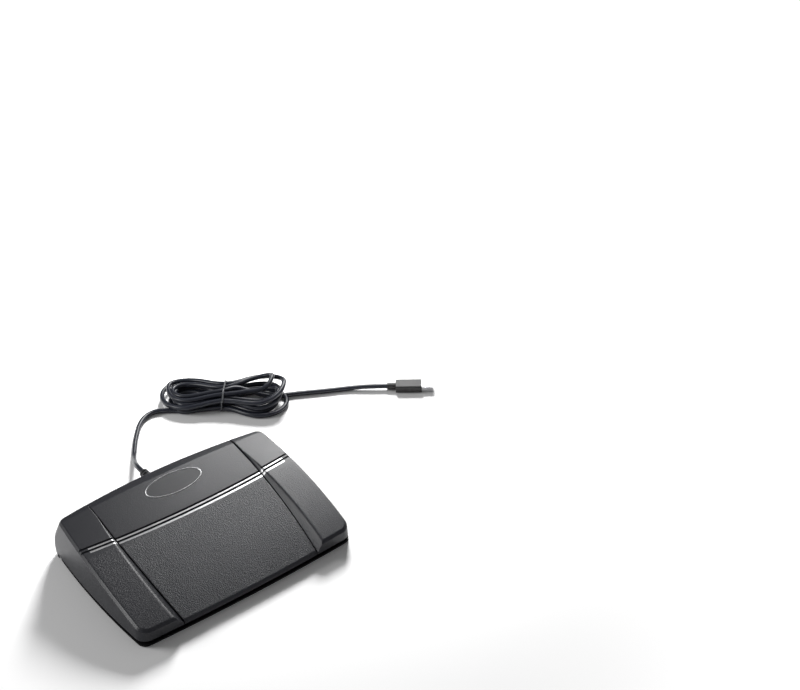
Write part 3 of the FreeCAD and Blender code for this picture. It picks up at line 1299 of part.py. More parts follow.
def plug_contacts():
    x1 = PLUG_NECK_LENGTH + PLUG_LENGTH + PLUG_SHELL_LENGTH - PLUG_TONGUE_SHORT
    z1 = PLUG_SHELL_HEIGHT / 2 - PLUG_SHELL_WALL - PLUG_TONGUE_HEIGHT
    contacts = []
    for i in range(4):
        y = (i - 1.5) * PLUG_CONTACT_PITCH
        contacts.append(box(x1 - 8.5, x1 - 1.0, y - PLUG_CONTACT_WIDTH / 2, y + PLUG_CONTACT_WIDTH / 2,
                            z1 - PLUG_CONTACT_THICKNESS, z1))
    return contacts


def main():
    os.makedirs("parts", exist_ok=True)
    save("base_plate", base_plate())
    save("rubber_feet", *rubber_feet())
    for name, (x, inward) in STAND_PLACES.items():
        save(name, stand(x, inward))
    save("stand_bushes", *[stand_bush(x) for x, _ in STAND_PLACES.values()])
    seat = BASE_TOP + SHEET_THICKNESS
    save("stand_screws", *[screw(x, y, seat) for x, y in stand_screw_places()])
    save("hinge_shaft", hinge_shaft())
    save("shaft_clips", *[shaft_clip(side) for side in SIDES.values()])

    for name, side in SIDES.items():
        save(name + "_treadle", side_treadle(side))
    save("centre_treadle", centre_treadle())
    save("oval_badge", oval_badge())

    save("bump_stops", *bump_stops())
    save("treadle_keepers", *[keeper(x) for x in keeper_places()])
    save("keeper_screws", *[screw(x, keeper_screw_y(), seat) for x in keeper_places()])
    save("spring_seats", *[spring_seat(x, y) for x, y in spring_places().values()])
    for name, (x, y) in spring_places().items():
        centre = name.startswith("centre")
        pad = CENTRE_PAD_HEIGHT if centre else SIDE_PAD_HEIGHT
        turns = CENTRE_SPRING_TURNS if centre else SIDE_SPRING_TURNS
        save(name, return_spring(x, y, pad, turns))

    save("circuit_board", circuit_board())
    save("board_standoffs", *[standoff(x, y) for x, y in standoff_places()])
    save("board_screws", *[screw(x, y, BOARD_TOP) for x, y in standoff_places()])
    for name, x in switch_places().items():
        save(name + "_switch", switch_body(x))
        save(name + "_switch_button", switch_button(x))
    save("controller_chip", controller_chip())
    save("cable_connector", cable_connector())
    save("board_parts", *board_parts())

    save("relief_bracket", relief_bracket())
    save("bracket_screws", *[screw(x, y, seat) for x, y in bracket_screw_places()])
    save("cord_clamp", cord_clamp())
    save("clamp_screws", *[screw(x, y, clamp_top()) for x, y in clamp_screw_places()])
    save("inner_cord", cord(inner_cord_points(), "inner cord"))
    save("strain_relief", strain_relief())

    edges, hank_in, hank_out = hank_edges()
    print_self_gap(edges)
    save("cord_hank", tube(edges, CORD_DIAMETER, "cord hank"))
    save("hank_tie", hank_tie())
    before_hank = hank_in.sub(hank_way(1, 0) * RUN_BEFORE_HANK)
    save("cord_run", cord(CORD_RUN_POINTS + [tuple(before_hank), tuple(hank_in)], "cord run"))
    tail = [tuple(hank_out)] + [tuple(hank_point(*p)) for p in CORD_TAIL_POINTS]
    save("cord_tail", cord(tail + [tuple(plug_origin())], "cord tail"))
    save("plug_body", plug_place(plug_body()))
    save("plug_shell", plug_place(plug_shell()))
    save("plug_tongue", plug_place(plug_tongue()))
    save("plug_contacts", *[plug_place(contact) for contact in plug_contacts()])


main()
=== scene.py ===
import math

import bmesh
import bpy
from mathutils import Matrix, Vector


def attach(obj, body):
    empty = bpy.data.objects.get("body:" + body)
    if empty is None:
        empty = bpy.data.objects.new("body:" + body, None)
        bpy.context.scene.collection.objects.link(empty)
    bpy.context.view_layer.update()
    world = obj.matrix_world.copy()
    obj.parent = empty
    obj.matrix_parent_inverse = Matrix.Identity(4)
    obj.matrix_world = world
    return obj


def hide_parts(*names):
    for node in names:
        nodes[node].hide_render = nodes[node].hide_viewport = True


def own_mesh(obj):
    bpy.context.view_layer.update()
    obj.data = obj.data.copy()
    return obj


# Looks of the foot pedal switch: moulded treadles, badge, cable in its tied hank, springs and finishes.
# Shapes are worked out in millimetres and put into the scene in metres.

MM = 0.001

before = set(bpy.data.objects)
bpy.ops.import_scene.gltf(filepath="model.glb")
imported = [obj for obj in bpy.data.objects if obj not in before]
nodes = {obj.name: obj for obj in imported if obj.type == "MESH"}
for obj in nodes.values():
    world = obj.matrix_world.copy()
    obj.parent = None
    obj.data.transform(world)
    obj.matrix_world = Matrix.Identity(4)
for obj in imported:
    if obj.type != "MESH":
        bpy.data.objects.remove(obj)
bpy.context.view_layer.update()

# Camera that matches the photograph's view
CAMERA_PLACE = (-0.47485, -0.85940, 0.84687)
CAMERA_AZIMUTH = -39.41
CAMERA_ELEVATION = 33.16
CAMERA_ROLL = 0.3
CAMERA_LENS = 63.26
SENSOR_WIDTH = 36.0

# Plan of the pedal
TOE_Y = -85.0
HEEL_Y = 85.0
SIDE_CURVE = ((109.0, -82.1), (112.5, -9.0), (108.0, 76.0))
SIDE_DRAFT = math.tan(math.radians(3.5))
TOE_BULGE = 2.9
TOE_HALF_SPAN = 109.0
HEEL_BULGE = 9.0
HEEL_HALF_SPAN = 106.0
TOE_CORNER_RADIUS = 9.0
HEEL_CORNER_RADIUS = 6.5

# Treadle tops in side view: heights at the toe, at the cross groove and at the heel band
TOP_PLACES = (-82.1, 14.0, 59.0)
SIDE_TOP_HEIGHTS = (16.4, 39.6, 45.9)
CENTRE_TOP_HEIGHTS = (10.2, 37.1, 44.9)
BAND_Y = 59.0
BAND_FALL = 0.12

# Heel face
HEEL_LEAN = math.radians(32.0)
HEEL_WIDEST_HEIGHT = 10.4
HEEL_UPPER_RADIUS = 26.6
HEEL_LOWER_RADIUS = 12.0
CREST_RADIUS = 9.0
CREST_HEIGHT = 46.8
HEEL_BOTTOM = 1.0

# Seams, bevels, grooves and skirts
SEAM_HEEL_X = 75.8
SEAM_TOE_X = 68.7
SEAM_STRAIGHT_Y = 38.0
SEAM_HALF_GAP = 0.4
SEAM_ROUND = 0.55
SIDE_BEVEL = 2.0
CENTRE_TOE_BEVEL = 1.6
GROOVE_EDGES = (11.1, 12.8, 7.4, 9.1)
GROOVE_PLAN_RADIUS = 1100.0
GROOVE_DEPTH = 1.25
GROOVE_LIP = 0.3
RIDGE_MIDDLE = 10.1
RIDGE_HALF_WIDTH = 1.0
RIDGE_CROWN = 0.13
LIP_START = 6.1
# Where the painted highlight material lies on the ridge and lip: its end across, its margin and the least upward
# normal
HIGHLIGHT_END_X = 101.5
HIGHLIGHT_MARGIN = 0.2
HIGHLIGHT_LEAST_NORMAL = 0.6
COVE_TOE_WIDTH = 6.9
COVE_START_Y = 45.0
COVE_DROP_BELOW_CENTRE = 1.6
COVE_SOFTNESS = 1.4
COVE_LEAST_SHARE = 0.01
BAND_SOFTNESS = 0.12
CREST_SOFTNESS = 0.5
BEVEL_SOFTNESS = 0.5
SKIRT_TOE_HEIGHT = 6.3
SKIRT_HEEL_HEIGHT = 4.6
SKIRT_END_Y = 67.0
# Where the rows of the mesh bow to follow the toe, the grooves and the heel
TOE_BOW = (TOE_Y + 5, TOE_Y + 45)
GROOVE_BOW_STARTS = (-50.0, 2.0)
GROOVE_BOW_ENDS = (13.0, 41.0)
HEEL_BOW = (24.0, 57.0)
HEEL_SHIFT_START = 10.0
BASE_HEEL_REACH = 74.0
SHELL_WALL = 2.5

# Badge
BADGE_PLACE = (2.0, 44.0)
BADGE_HALF_LENGTH = 29.0
BADGE_HALF_DEPTH = 12.5
BADGE_RECESS = 0.7
BADGE_GAP = 0.25
BADGE_SIDES = 120
BADGE_RIM_RINGS = 9
BADGE_PROFILE = ((0.0, -0.65), (0.0, 0.1), (0.08, 0.3), (0.22, 0.45), (0.42, 0.53), (0.65, 0.55), (0.85, 0.5),
                 (1.02, 0.38), (1.12, 0.2), (1.2, 0.02), (3.0, 0.02), (6.0, 0.02), (9.0, 0.02), (12.0, 0.02))

# Hole in the heel for the strain relief
CORD_X = 4.0
CORD_HEIGHT = 15.0
RELIEF_HOLE_RADIUS = 6.7

# Cable
CORD_DIAMETER = 5.0

# Hank: its middle, its turn on the floor and its layers
HANK_PLACE = (142.5, 178.0)
HANK_TURN = math.radians(-40.4)
HANK_HALF_LENGTH = 64.0
HANK_LOBE_PLACE = 38.0
HANK_LOBE_HALF_WIDTH = 26.0
HANK_WAIST_HALF_WIDTH = 14.4
HANK_STEP = 6.6
HANK_LAYER_STEP = 5.8
HANK_LAYERS = 3
TURNS_PER_LAYER = 2
HANK_TIP_LIFT = 6.4
HANK_WAIST_LIFT = 1.2
TIE_RADIUS = 0.85
TIE_LEANS = (1.4, 0.5)
TIE_STEPS = 72
TIE_SIDES = 10
LOOP_PLACES = 8

# How far each loop lies from its even place: its strand on the toe side and the one on the heel side across
# the hank, then its end along, across and raised. The loops start with the lowest.
WAIST_SHIFT = (0.0, -7.5, 0.0)
LEFT_SHIFTS = ((-9.0, -8.0, 3.5, -9.0, 0.0), (-8.0, -9.0, 0.0, -8.0, 0.5), (-8.0, -6.0, 4.0, -6.0, 0.5),
               (-5.5, -1.0, -3.0, -3.0, -2.0), (-3.0, -7.0, 0.0, 4.0, -2.5), (-2.5, -8.5, -1.0, -4.0, -2.0))
RIGHT_SHIFTS = ((-9.0, -8.0, 3.5, -8.5, -6.4), (-9.0, -7.0, 0.0, -8.0, -4.0), (2.0, -6.0, 4.0, -4.0, -2.0),
                (-8.0, -4.0, 0.5, -8.0, -1.5), (-2.0, -3.0, 0.5, 1.5, 0.0), (8.0, -2.0, -6.0, 7.5, 4.0))

# Cable between the strain relief and the hank
CORD_RUN_POINTS = [
    (4.0, 106.0, 15.0),
    (4.0, 114.0, 15.0),
    (6.4, 124.5, 11.8),
    (10.6, 135.5, 7.0),
    (16.0, 146.5, 3.2),
    (22.8, 157.0, 2.5),
    (30.6, 169.0, 2.5),
    (40.0, 181.0, 2.5),
    (49.0, 191.5, 2.5),
    (60.0, 199.0, 2.5),
    (72.0, 200.6, 2.5),
]

# Cable after the hank, as places along and across the hank, and heights
CORD_TAIL_POINTS = [
    (12.0, -1.2, 15.3),
    (23.0, -0.8, 11.6),
    (34.0, 0.2, 6.2),
    (46.0, 1.2, 2.5),
    (62.0, 3.6, 2.5),
    (81.0, 8.2, 2.5),
    (103.0, 12.2, 2.5),
    (126.0, 17.6, 2.5),
    (148.0, 19.6, 4.0),
    (168.0, 20.6, 4.0),
]
RUN_BEFORE_HANK = 13.0

# Return springs: place, height of the treadle's pad, turns and joint
SPRING_Y = -34.0
SPRING_BOTTOM = 4.3
SPRING_MEAN_RADIUS = 4.5
SPRING_WIRE_RADIUS = 0.65
SPRING_STEPS_PER_TURN = 28
SPRINGS = {
    "left_spring": (-92.0, 19.7, 5, "left_press"),
    "centre_left_spring": (-38.0, 15.7, 4, "centre_press"),
    "centre_right_spring": (38.0, 15.7, 4, "centre_press"),
    "right_spring": (92.0, 19.7, 5, "right_press"),
}

# Studio, in metres: the floor glows white beyond where the shadows fall. Each lamp has its place, size and
# radiance, and either leaves the floor out or lights it alone.
WORLD_STRENGTH = 0.2
FLOOR_SIZE = 16.0
FLOOR_MIDDLE = (0.08, 0.06)
GLOW_START = 0.33
GLOW_END = 0.8
GLOW_STRENGTH = 0.9
SOFTBOXES = (
    ("key_softbox", (0.50, 0.36, 0.50), (0.36, 0.36), 14.0, "EXCLUDE"),
    ("back_softbox", (0.66, 0.74, 0.49), (0.24, 0.24), 150.0, "INCLUDE"),
    ("left_softbox", (-2.2, 0.6, 1.9), (1.0, 1.0), 13.0, "EXCLUDE"),
    ("fill_softbox", (-1.30, 1.30, 0.80), (0.8, 0.8), 11.0, "INCLUDE"),
    ("bevel_softbox", (-1.10, 1.20, 0.70), (0.8, 0.8), 1.1, "EXCLUDE"),
)

# Treadle finish: the grain is full on the centre front and fainter behind, beside and at the outer edges
CHARCOAL = (0.0092, 0.0098, 0.0142)
WORN_GAIN = 1.12
TREADLE_ROUGHNESS = 0.4
GRAIN_SCALE = 1050.0
GRAIN_HEIGHT = 0.0002
MARKS_SCALE = 20.0
GRAIN_BEHIND = (4.0, 7.0, 1.0, 0.22)
GRAIN_BESIDE = (70.0, 76.0, 1.0, 0.55)
GRAIN_OUTSIDE = (105.0, 108.0, 1.0, 0.4)


# Camera

def add_camera():
    azimuth, elevation = math.radians(CAMERA_AZIMUTH), math.radians(CAMERA_ELEVATION)
    back = Vector((math.sin(azimuth) * math.cos(elevation),
                   -math.cos(azimuth) * math.cos(elevation), math.sin(elevation)))
    right = Vector((math.cos(azimuth), math.sin(azimuth), 0))
    turn = Matrix((right, back.cross(right), back)).transposed().to_4x4()
    data = bpy.data.cameras.new("photo_camera")
    data.lens, data.sensor_width = CAMERA_LENS, SENSOR_WIDTH
    camera = bpy.data.objects.new("photo_camera", data)
    camera.matrix_world = Matrix.Translation(CAMERA_PLACE) @ turn @ Matrix.Rotation(
        math.radians(CAMERA_ROLL), 4, "Z")
    bpy.context.collection.objects.link(camera)
    bpy.context.scene.camera = camera


# Cable

def hank_point(along, across, z):
    x = HANK_PLACE[0] + along * math.cos(HANK_TURN) - across * math.sin(HANK_TURN)
    y = HANK_PLACE[1] + along * math.sin(HANK_TURN) + across * math.cos(HANK_TURN)
    return x, y, z


def hank_stations():
    """Eight places a loop, from the first lobe to the last, as the solid's formula and the shifts give them."""
    lobe, reach = HANK_LOBE_PLACE, HANK_HALF_LENGTH
    wide, waist = HANK_LOBE_HALF_WIDTH, HANK_WAIST_HALF_WIDTH
    loop = [(-lobe, -wide, 0, 1), (0, -waist, HANK_WAIST_LIFT, 1), (lobe, -wide, 0, 1),
            (reach, 0, HANK_TIP_LIFT, 0), (lobe, wide, 0, 1), (0, waist, HANK_WAIST_LIFT, 1),
            (-lobe, wide, 0, 1), (-reach, 0, 0, 0)]
    period = LOOP_PLACES * TURNS_PER_LAYER
    stations = []
    for index in range(period * HANK_LAYERS + 2):
        along, across, raised, level = loop[index % LOOP_PLACES]
        place = (index - 1) % (2 * period)
        inward = (place if place <= period else 2 * period - place) / LOOP_PLACES
        if index == 0:
            inward = -1 / LOOP_PLACES
        climbs = [0.5 + (index - 1 - climb * period) / 4 for climb in range(1, HANK_LAYERS)]
        lift = sum(min(max(share, 0), 1) for share in climbs)
        step = inward * HANK_STEP
        if level:
            across *= 1 - step / abs(across)
        else:
            along *= 1 - step / abs(along)
        z = CORD_DIAMETER / 2 + raised + lift * HANK_LAYER_STEP
        shift = loop_shift(index)
        z = max(z + shift[2], CORD_DIAMETER / 2)
        stations.append((along + shift[0], across + shift[1], z, level))
    return stations


def loop_shift(index):
    """How far a station of the hank lies from the even loop's own."""
    place = index % LOOP_PLACES
    last = HANK_LAYERS * TURNS_PER_LAYER - 1
    if index == 0:
        return 0.0, 0.0, 0.0
    if place in (1, 5):
        return WAIST_SHIFT
    if place in (2, 3, 4):
        toe_side, heel_side, along, across, raised = RIGHT_SHIFTS[min(index // LOOP_PLACES, last)]
    else:
        toe_side, heel_side, along, across, raised = LEFT_SHIFTS[min((index - 1) // LOOP_PLACES, last)]
    if place in (3, 7):
        return along, across, raised
    return 0.0, toe_side if place in (0, 2) else heel_side, raised


def hank_points():
    """The loops as control points: two more between a waist and a lobe, two more round each end."""
    points = []
    stations = hank_stations()
    for (a0, b0, z0, level0), (a1, b1, z1, level1) in zip(stations, stations[1:]):
        points.append((a0, b0, z0))
        for share in (1 / 3, 2 / 3):
            z = z0 + (z1 - z0) * share
            if level0 and level1:
                ease = (1 - math.cos(math.pi * share)) / 2
                points.append((a0 + (a1 - a0) * share, b0 + (b1 - b0) * ease, z))
            else:
                angle = math.pi / 2 * share
                toward = (math.sin(angle), 1 - math.cos(angle))
                along_share, across_share = toward if level0 else toward[::-1]
                points.append((a0 + (a1 - a0) * along_share, b0 + (b1 - b0) * across_share, z))
    points.append(stations[-1][:3])
    return [hank_point(*p) for p in points]


def add_tie():
    """Thin tie drawn round the strands at the waist."""
    strands = [(across, z) for place, (_, across, z, _) in enumerate(hank_stations())
               if place % LOOP_PLACES in (1, 5)]
    path = []
    for k in range(TIE_STEPS):
        angle = 2 * math.pi * k / TIE_STEPS
        way = (math.cos(angle), math.sin(angle))
        across, z = max(strands, key=lambda strand: strand[0] * way[0] + strand[1] * way[1])
        reach = CORD_DIAMETER / 2 + TIE_RADIUS
        lean = TIE_LEANS[0] * math.sin(angle) + TIE_LEANS[1] * math.sin(3 * angle)
        path.append(hank_point(lean, across + way[0] * reach, max(z + way[1] * reach, TIE_RADIUS)))
    points, faces = [], []
    for k in range(TIE_STEPS):
        way = (Vector(path[(k + 1) % TIE_STEPS]) - Vector(path[k - 1])).normalized()
        flat = Vector((math.cos(HANK_TURN), math.sin(HANK_TURN), 0))
        out = way.cross(flat).normalized()
        along = out.cross(way)
        for s in range(TIE_SIDES):
            turn = 2 * math.pi * s / TIE_SIDES
            points.append(Vector(path[k]) + (out * math.cos(turn) + along * math.sin(turn)) * TIE_RADIUS)
    for k in range(TIE_STEPS):
        low, high = k * TIE_SIDES, (k + 1) % TIE_STEPS * TIE_SIDES
        for s in range(TIE_SIDES):
            t = (s + 1) % TIE_SIDES
            faces.append((low + s, low + t, high + t, high + s))
    mesh = mesh_from("tie_band", points, faces)
    face_outward(mesh)
    shade(mesh)
    return new_piece("tie_band", mesh, "base", "tie_plastic", "hank_tie")


def add_cable():
    loops = hank_points()
    way = (math.cos(HANK_TURN), math.sin(HANK_TURN))
    first = loops[0]
    entries = [(first[0] - way[0] * back, first[1] - way[1] * back, first[2])
               for back in (CORD_DIAMETER + RUN_BEFORE_HANK, CORD_DIAMETER)]
    points = CORD_RUN_POINTS + entries + loops + [hank_point(*p) for p in CORD_TAIL_POINTS]
    curve = bpy.data.curves.new("cable", "CURVE")
    curve.dimensions = "3D"
    curve.bevel_depth = 1.0
    curve.bevel_resolution = 6
    curve.resolution_u = 8
    curve.use_fill_caps = True
    spline = curve.splines.new("NURBS")
    spline.points.add(len(points) - 1)
    for point, place in zip(spline.points, points):
        point.co = (*(c * MM for c in place), 1)
        # Blender adds the points' radius to the curve's bounds, so it is the cable's own
        point.radius = CORD_DIAMETER / 2 * MM
    spline.order_u = 3
    spline.use_endpoint_u = True
    cable = bpy.data.objects.new("cable", curve)
    bpy.context.collection.objects.link(cable)
    return cable


# Mesh helpers

def new_piece(name, mesh, body, slot, *replaced):
    piece = bpy.data.objects.new(name, mesh)
    bpy.context.collection.objects.link(piece)
    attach(piece, body)
    if replaced:
        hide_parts(*replaced)
    return piece


def mesh_from(name, points, faces):
    mesh = bpy.data.meshes.new(name)
    mesh.from_pydata([tuple(c * MM for c in p) for p in points], [], faces)
    return mesh


def face_outward(mesh):
    build = bmesh.new()
    build.from_mesh(mesh)
    bmesh.ops.recalc_face_normals(build, faces=build.faces)
    build.to_mesh(mesh)
    build.free()


def smooth_min(a, b, width):
    share = min(max(0.5 + 0.5 * (b - a) / width, 0.0), 1.0)
    return b + (a - b) * share - width * share * (1 - share)


def smooth_step(start, end, value):
    share = min(max((value - start) / (end - start), 0.0), 1.0)
    return share * share * (3 - 2 * share)


def circle_through(first, second, third):
    """Centre and radius of the circle through three points of a plane."""
    (ax, ay), (bx, by), (cx, cy) = first, second, third
    a2, b2, c2 = ax * ax + ay * ay, bx * bx + by * by, cx * cx + cy * cy
    twice = 2 * (ax * (by - cy) + bx * (cy - ay) + cx * (ay - by))
    x = (a2 * (by - cy) + b2 * (cy - ay) + c2 * (ay - by)) / twice
    y = (a2 * (cx - bx) + b2 * (ax - cx) + c2 * (bx - ax)) / twice
    return x, y, math.hypot(ax - x, ay - y)


# Treadle shells: the surface's own rules

SIDE_CIRCLE = circle_through(*SIDE_CURVE)
SIDE_TOP = circle_through(*zip(TOP_PLACES, SIDE_TOP_HEIGHTS))
CENTRE_TOP = circle_through(*zip(TOP_PLACES, CENTRE_TOP_HEIGHTS))
TOE_ARC_RADIUS = (TOE_HALF_SPAN ** 2 + TOE_BULGE ** 2) / (2 * TOE_BULGE)
HEEL_ARC_RADIUS = (HEEL_HALF_SPAN ** 2 + HEEL_BULGE ** 2) / (2 * HEEL_BULGE)
LEAN_Z = HEEL_WIDEST_HEIGHT + HEEL_UPPER_RADIUS * math.sin(HEEL_LEAN)
LEAN_Y = HEEL_Y - HEEL_UPPER_RADIUS * (1 - math.cos(HEEL_LEAN))
CREST_Z = CREST_HEIGHT - CREST_RADIUS
CREST_Y = LEAN_Y - (CREST_Z - LEAN_Z) * math.tan(HEEL_LEAN) - CREST_RADIUS / math.cos(HEEL_LEAN)
TOP_END_Y = CREST_Y + CREST_RADIUS * math.cos(HEEL_LEAN)
TOP_END_Z = CREST_Z + CREST_RADIUS * math.sin(HEEL_LEAN)


def side_x(y, z):
    x, y_centre, radius = SIDE_CIRCLE
    return x + math.sqrt(radius ** 2 - (y - y_centre) ** 2) - z * SIDE_DRAFT


def seam_x(y):
    drop = SEAM_HEEL_X - SEAM_TOE_X
    bend = min((y - SEAM_STRAIGHT_Y) / (SEAM_STRAIGHT_Y - TOE_Y), 0.0)
    return SEAM_HEEL_X - drop * bend ** 2


def arc_drop(radius, x):
    return radius - math.sqrt(radius ** 2 - x ** 2)


def heel_reach(z):
    """How far back the heel face is on the middle line at height z."""
    if z < HEEL_WIDEST_HEIGHT:
        return HEEL_Y - HEEL_LOWER_RADIUS + math.sqrt(
            HEEL_LOWER_RADIUS ** 2 - (HEEL_WIDEST_HEIGHT - z) ** 2)
    if z < LEAN_Z:
        return HEEL_Y - HEEL_UPPER_RADIUS + math.sqrt(
            HEEL_UPPER_RADIUS ** 2 - (z - HEEL_WIDEST_HEIGHT) ** 2)
    return LEAN_Y - (z - LEAN_Z) * math.tan(HEEL_LEAN)


def top_height(circle, y):
    return circle[1] + math.sqrt(circle[2] ** 2 - (y - circle[0]) ** 2)


def open_top(circle, x, y):
    """The treadle top with its heel band, before its edges are worked."""
    band = top_height(circle, BAND_Y) - BAND_FALL * (y + arc_drop(HEEL_ARC_RADIUS, x) - BAND_Y)
    return smooth_min(top_height(circle, y), band, BAND_SOFTNESS)


def crest_height(inset):
    """Height of the rounded crest, by how far it is from where the heel face starts."""
    out = CREST_RADIUS * math.cos(HEEL_LEAN) - inset
    return CREST_Z + math.sqrt(max(CREST_RADIUS ** 2 - out ** 2, 0.0))


def groove_drop(x, y):
    """Depth of the twin grooves, which arch across the treadles."""
    place = y - arc_drop(GROOVE_PLAN_RADIUS, x)
    depth = 0.0
    for start, end in (GROOVE_EDGES[:2], GROOVE_EDGES[2:]):
        rise = smooth_step(start - GROOVE_LIP, start + GROOVE_LIP, place)
        depth = max(depth, rise * (1 - smooth_step(end - GROOVE_LIP, end + GROOVE_LIP, place)))
    crown = 0.0
    if abs(place - RIDGE_MIDDLE) < RIDGE_HALF_WIDTH:
        crown = RIDGE_CROWN * ((place - RIDGE_MIDDLE) / RIDGE_HALF_WIDTH) ** 2
    elif LIP_START < place < GROOVE_EDGES[2]:
        crown = 1.6 * RIDGE_CROWN * ((place - LIP_START) / (GROOVE_EDGES[2] - LIP_START)) ** 2
    return max(depth * GROOVE_DEPTH, crown)


def round_drop(inset, radius):
    if inset >= radius:
        return 0.0
    return radius - math.sqrt(radius ** 2 - (radius - inset) ** 2)


def bevel_drop(inset, bevel):
    return -smooth_min(inset - bevel, 0.0, BEVEL_SOFTNESS)


def cove_drop(inset, y):
    """How far the sloping face along a side treadle's seam lies below the top."""
    share = (COVE_START_Y - y) / (COVE_START_Y - TOE_Y)
    if share <= COVE_LEAST_SHARE:
        return 0.0
    width = COVE_TOE_WIDTH * math.sin(math.pi / 2 * min(share, 1.0))
    full = top_height(SIDE_TOP, y) - top_height(CENTRE_TOP, y) + COVE_DROP_BELOW_CENTRE * share
    return -smooth_min(-full * (1 - inset / width), 0.0, COVE_SOFTNESS * min(5 * share, 1.0))


# Treadle shells: rows from the toe to the heel, columns from the seam outwards

EDGE_INSETS = (0.0, 0.12, 0.3, 0.6, 0.9, 1.2, 1.5, 1.75, 2.0, 2.25, 2.6, 3.0, 3.6, 4.2, 5.0)
INNER_INSETS = (9.0, 8.2, 7.4, 6.6, 5.8)
TOE_INSETS = (5.8, 6.8, 7.8, 8.8, 10.0, 12.0)
GROOVE_OFFSETS = (-0.4, -0.3, -0.22, -0.14, -0.05, 0.05, 0.14, 0.22, 0.3, 0.4)
GROOVE_EXTRA_ROWS = (4.3, 4.5, 4.7, 4.9, 5.1, 5.25, 8.1, 8.3, 8.5, 8.7, 8.9)
BAND_OFFSETS = (-0.6, -0.2, 0.0, 0.2, 0.6)
ROW_STEP = 3.0
ROW_MARGIN = 1.5
SEAM_COLUMNS = (0.0, 0.08, 0.2, 0.35, 0.55, 0.9, 1.4, 1.9, 2.4, 3.0, 3.6, 4.2, 4.8, 5.4, 6.0, 6.6,
                7.2, 8.0, 9.5)
WALL_STEPS = 22
WALL_EDGE = 0.25
CENTRE_STEPS = 26
SIDE_STEPS = 6


def row_places():
    """Places of the rows on the middle line."""
    rows = [TOE_Y + inset for inset in EDGE_INSETS + TOE_INSETS]
    rows += even_rows(TOE_Y + TOE_INSETS[-1] + ROW_STEP, LIP_START - ROW_MARGIN)
    rows += [edge + offset for edge in sorted(GROOVE_EDGES) for offset in GROOVE_OFFSETS]
    rows += GROOVE_EXTRA_ROWS
    rows.sort()
    rows += even_rows(max(GROOVE_EDGES) + ROW_MARGIN, BAND_Y - ROW_MARGIN)
    rows += [BAND_Y + offset for offset in BAND_OFFSETS]
    rows += [TOP_END_Y - inset for inset in INNER_INSETS + EDGE_INSETS[::-1]]
    return rows


def even_rows(start, end):
    rows = []
    while start < end:
        rows.append(start)
        start += ROW_STEP
    return rows


def corner_shift(first, second, radius):
    """Insets moved so that the square corner they span is rounded, and its inset from the round edge."""
    a, b = radius - first, radius - second
    if a <= 0 or b <= 0:
        return first, second, min(first, second), 0.0
    shrink = max(a, b) / math.hypot(a, b)
    turn = math.atan2(b, a) / (math.pi / 2)
    return radius - a * shrink, radius - b * shrink, radius - max(a, b), turn


def place_in_plan(column, row, z):
    """Plan place of one grid point: column is a function of y and z, row a place on the middle line."""
    toe_bow = 1 - smooth_step(*TOE_BOW, row)
    groove_bow = smooth_step(*GROOVE_BOW_STARTS, row) * (1 - smooth_step(*GROOVE_BOW_ENDS, row))
    heel_bow = smooth_step(*HEEL_BOW, row)
    heel_shift = smooth_step(HEEL_SHIFT_START, TOP_END_Y - HEEL_CORNER_RADIUS, row)
    y = row
    for _ in range(3):
        x = column(y, z)
        y = row + toe_bow * (arc_drop(TOE_ARC_RADIUS, x) + z * SIDE_DRAFT)
        y += groove_bow * arc_drop(GROOVE_PLAN_RADIUS, x)
        y += heel_shift * (heel_reach(min(z, TOP_END_Z)) - TOP_END_Y) - heel_bow * arc_drop(HEEL_ARC_RADIUS, x)
    return x, y


def skirt_bottom(column, row):
    """Lower edge of the wall: over the base plate's rim, and down behind it at the heel."""
    x, y = place_in_plan(column, row, SKIRT_HEEL_HEIGHT)
    if y + arc_drop(HEEL_ARC_RADIUS, x) > BASE_HEEL_REACH + 0.5:
        return HEEL_BOTTOM
    share = min((y - TOE_Y) / (SKIRT_END_Y - TOE_Y), 1.0)
    return SKIRT_TOE_HEIGHT + (SKIRT_HEEL_HEIGHT - SKIRT_TOE_HEIGHT) * share


def skin_mesh(name, grid):
    """Shell skin from a grid of (column rule, row, height): the top, and walls down from its rim."""
    points, faces = [], []
    rows, width = len(grid), len(grid[0])
    for line in grid:
        for column, row, z in line:
            points.append((*place_in_plan(column, row, z), z))
    for j in range(rows - 1):
        for i in range(width - 1):
            k = j * width + i
            faces.append((k, k + 1, k + width + 1, k + width))
    rim = [(0, i) for i in range(width)] + [(j, width - 1) for j in range(1, rows)]
    rim += [(rows - 1, i) for i in range(width - 2, -1, -1)] + [(j, 0) for j in range(rows - 2, 0, -1)]
    above = [j * width + i for j, i in rim]
    lows = [skirt_bottom(grid[j][i][0], grid[j][i][1]) for j, i in rim]
    for step in range(WALL_STEPS + 1):
        below = []
        for (j, i), low in zip(rim, lows):
            column, row, top = grid[j][i]
            start = top - WALL_EDGE
            z = start + (low - start) * step / WALL_STEPS
            below.append(len(points))
            points.append((*place_in_plan(column, row, z), z))
        for k in range(len(rim)):
            after = (k + 1) % len(rim)
            faces.append((above[k], below[k], below[after], above[after]))
        above = below
    mesh = mesh_from(name, points, faces)
    build = bmesh.new()
    build.from_mesh(mesh)
    bmesh.ops.remove_doubles(build, verts=build.verts, dist=1e-6)
    bmesh.ops.recalc_face_normals(build, faces=build.faces)
    top_face = max(build.faces, key=lambda face: face.calc_center_median().z)
    if top_face.normal.z < 0:
        bmesh.ops.reverse_faces(build, faces=build.faces)
    build.to_mesh(mesh)
    build.free()
    return mesh


def side_grid(side):
    """Grid of a side treadle; side is -1 for the left one."""
    outer = INNER_INSETS + EDGE_INSETS[::-1]
    specs = [(inset, None, 0.0) for inset in SEAM_COLUMNS]
    specs += [(SEAM_COLUMNS[-1], outer[0], k / SIDE_STEPS) for k in range(1, SIDE_STEPS)]
    specs += [(None, inset, 1.0) for inset in outer]
    return [[side_point(side, row, *spec) for spec in specs] for row in row_places()]


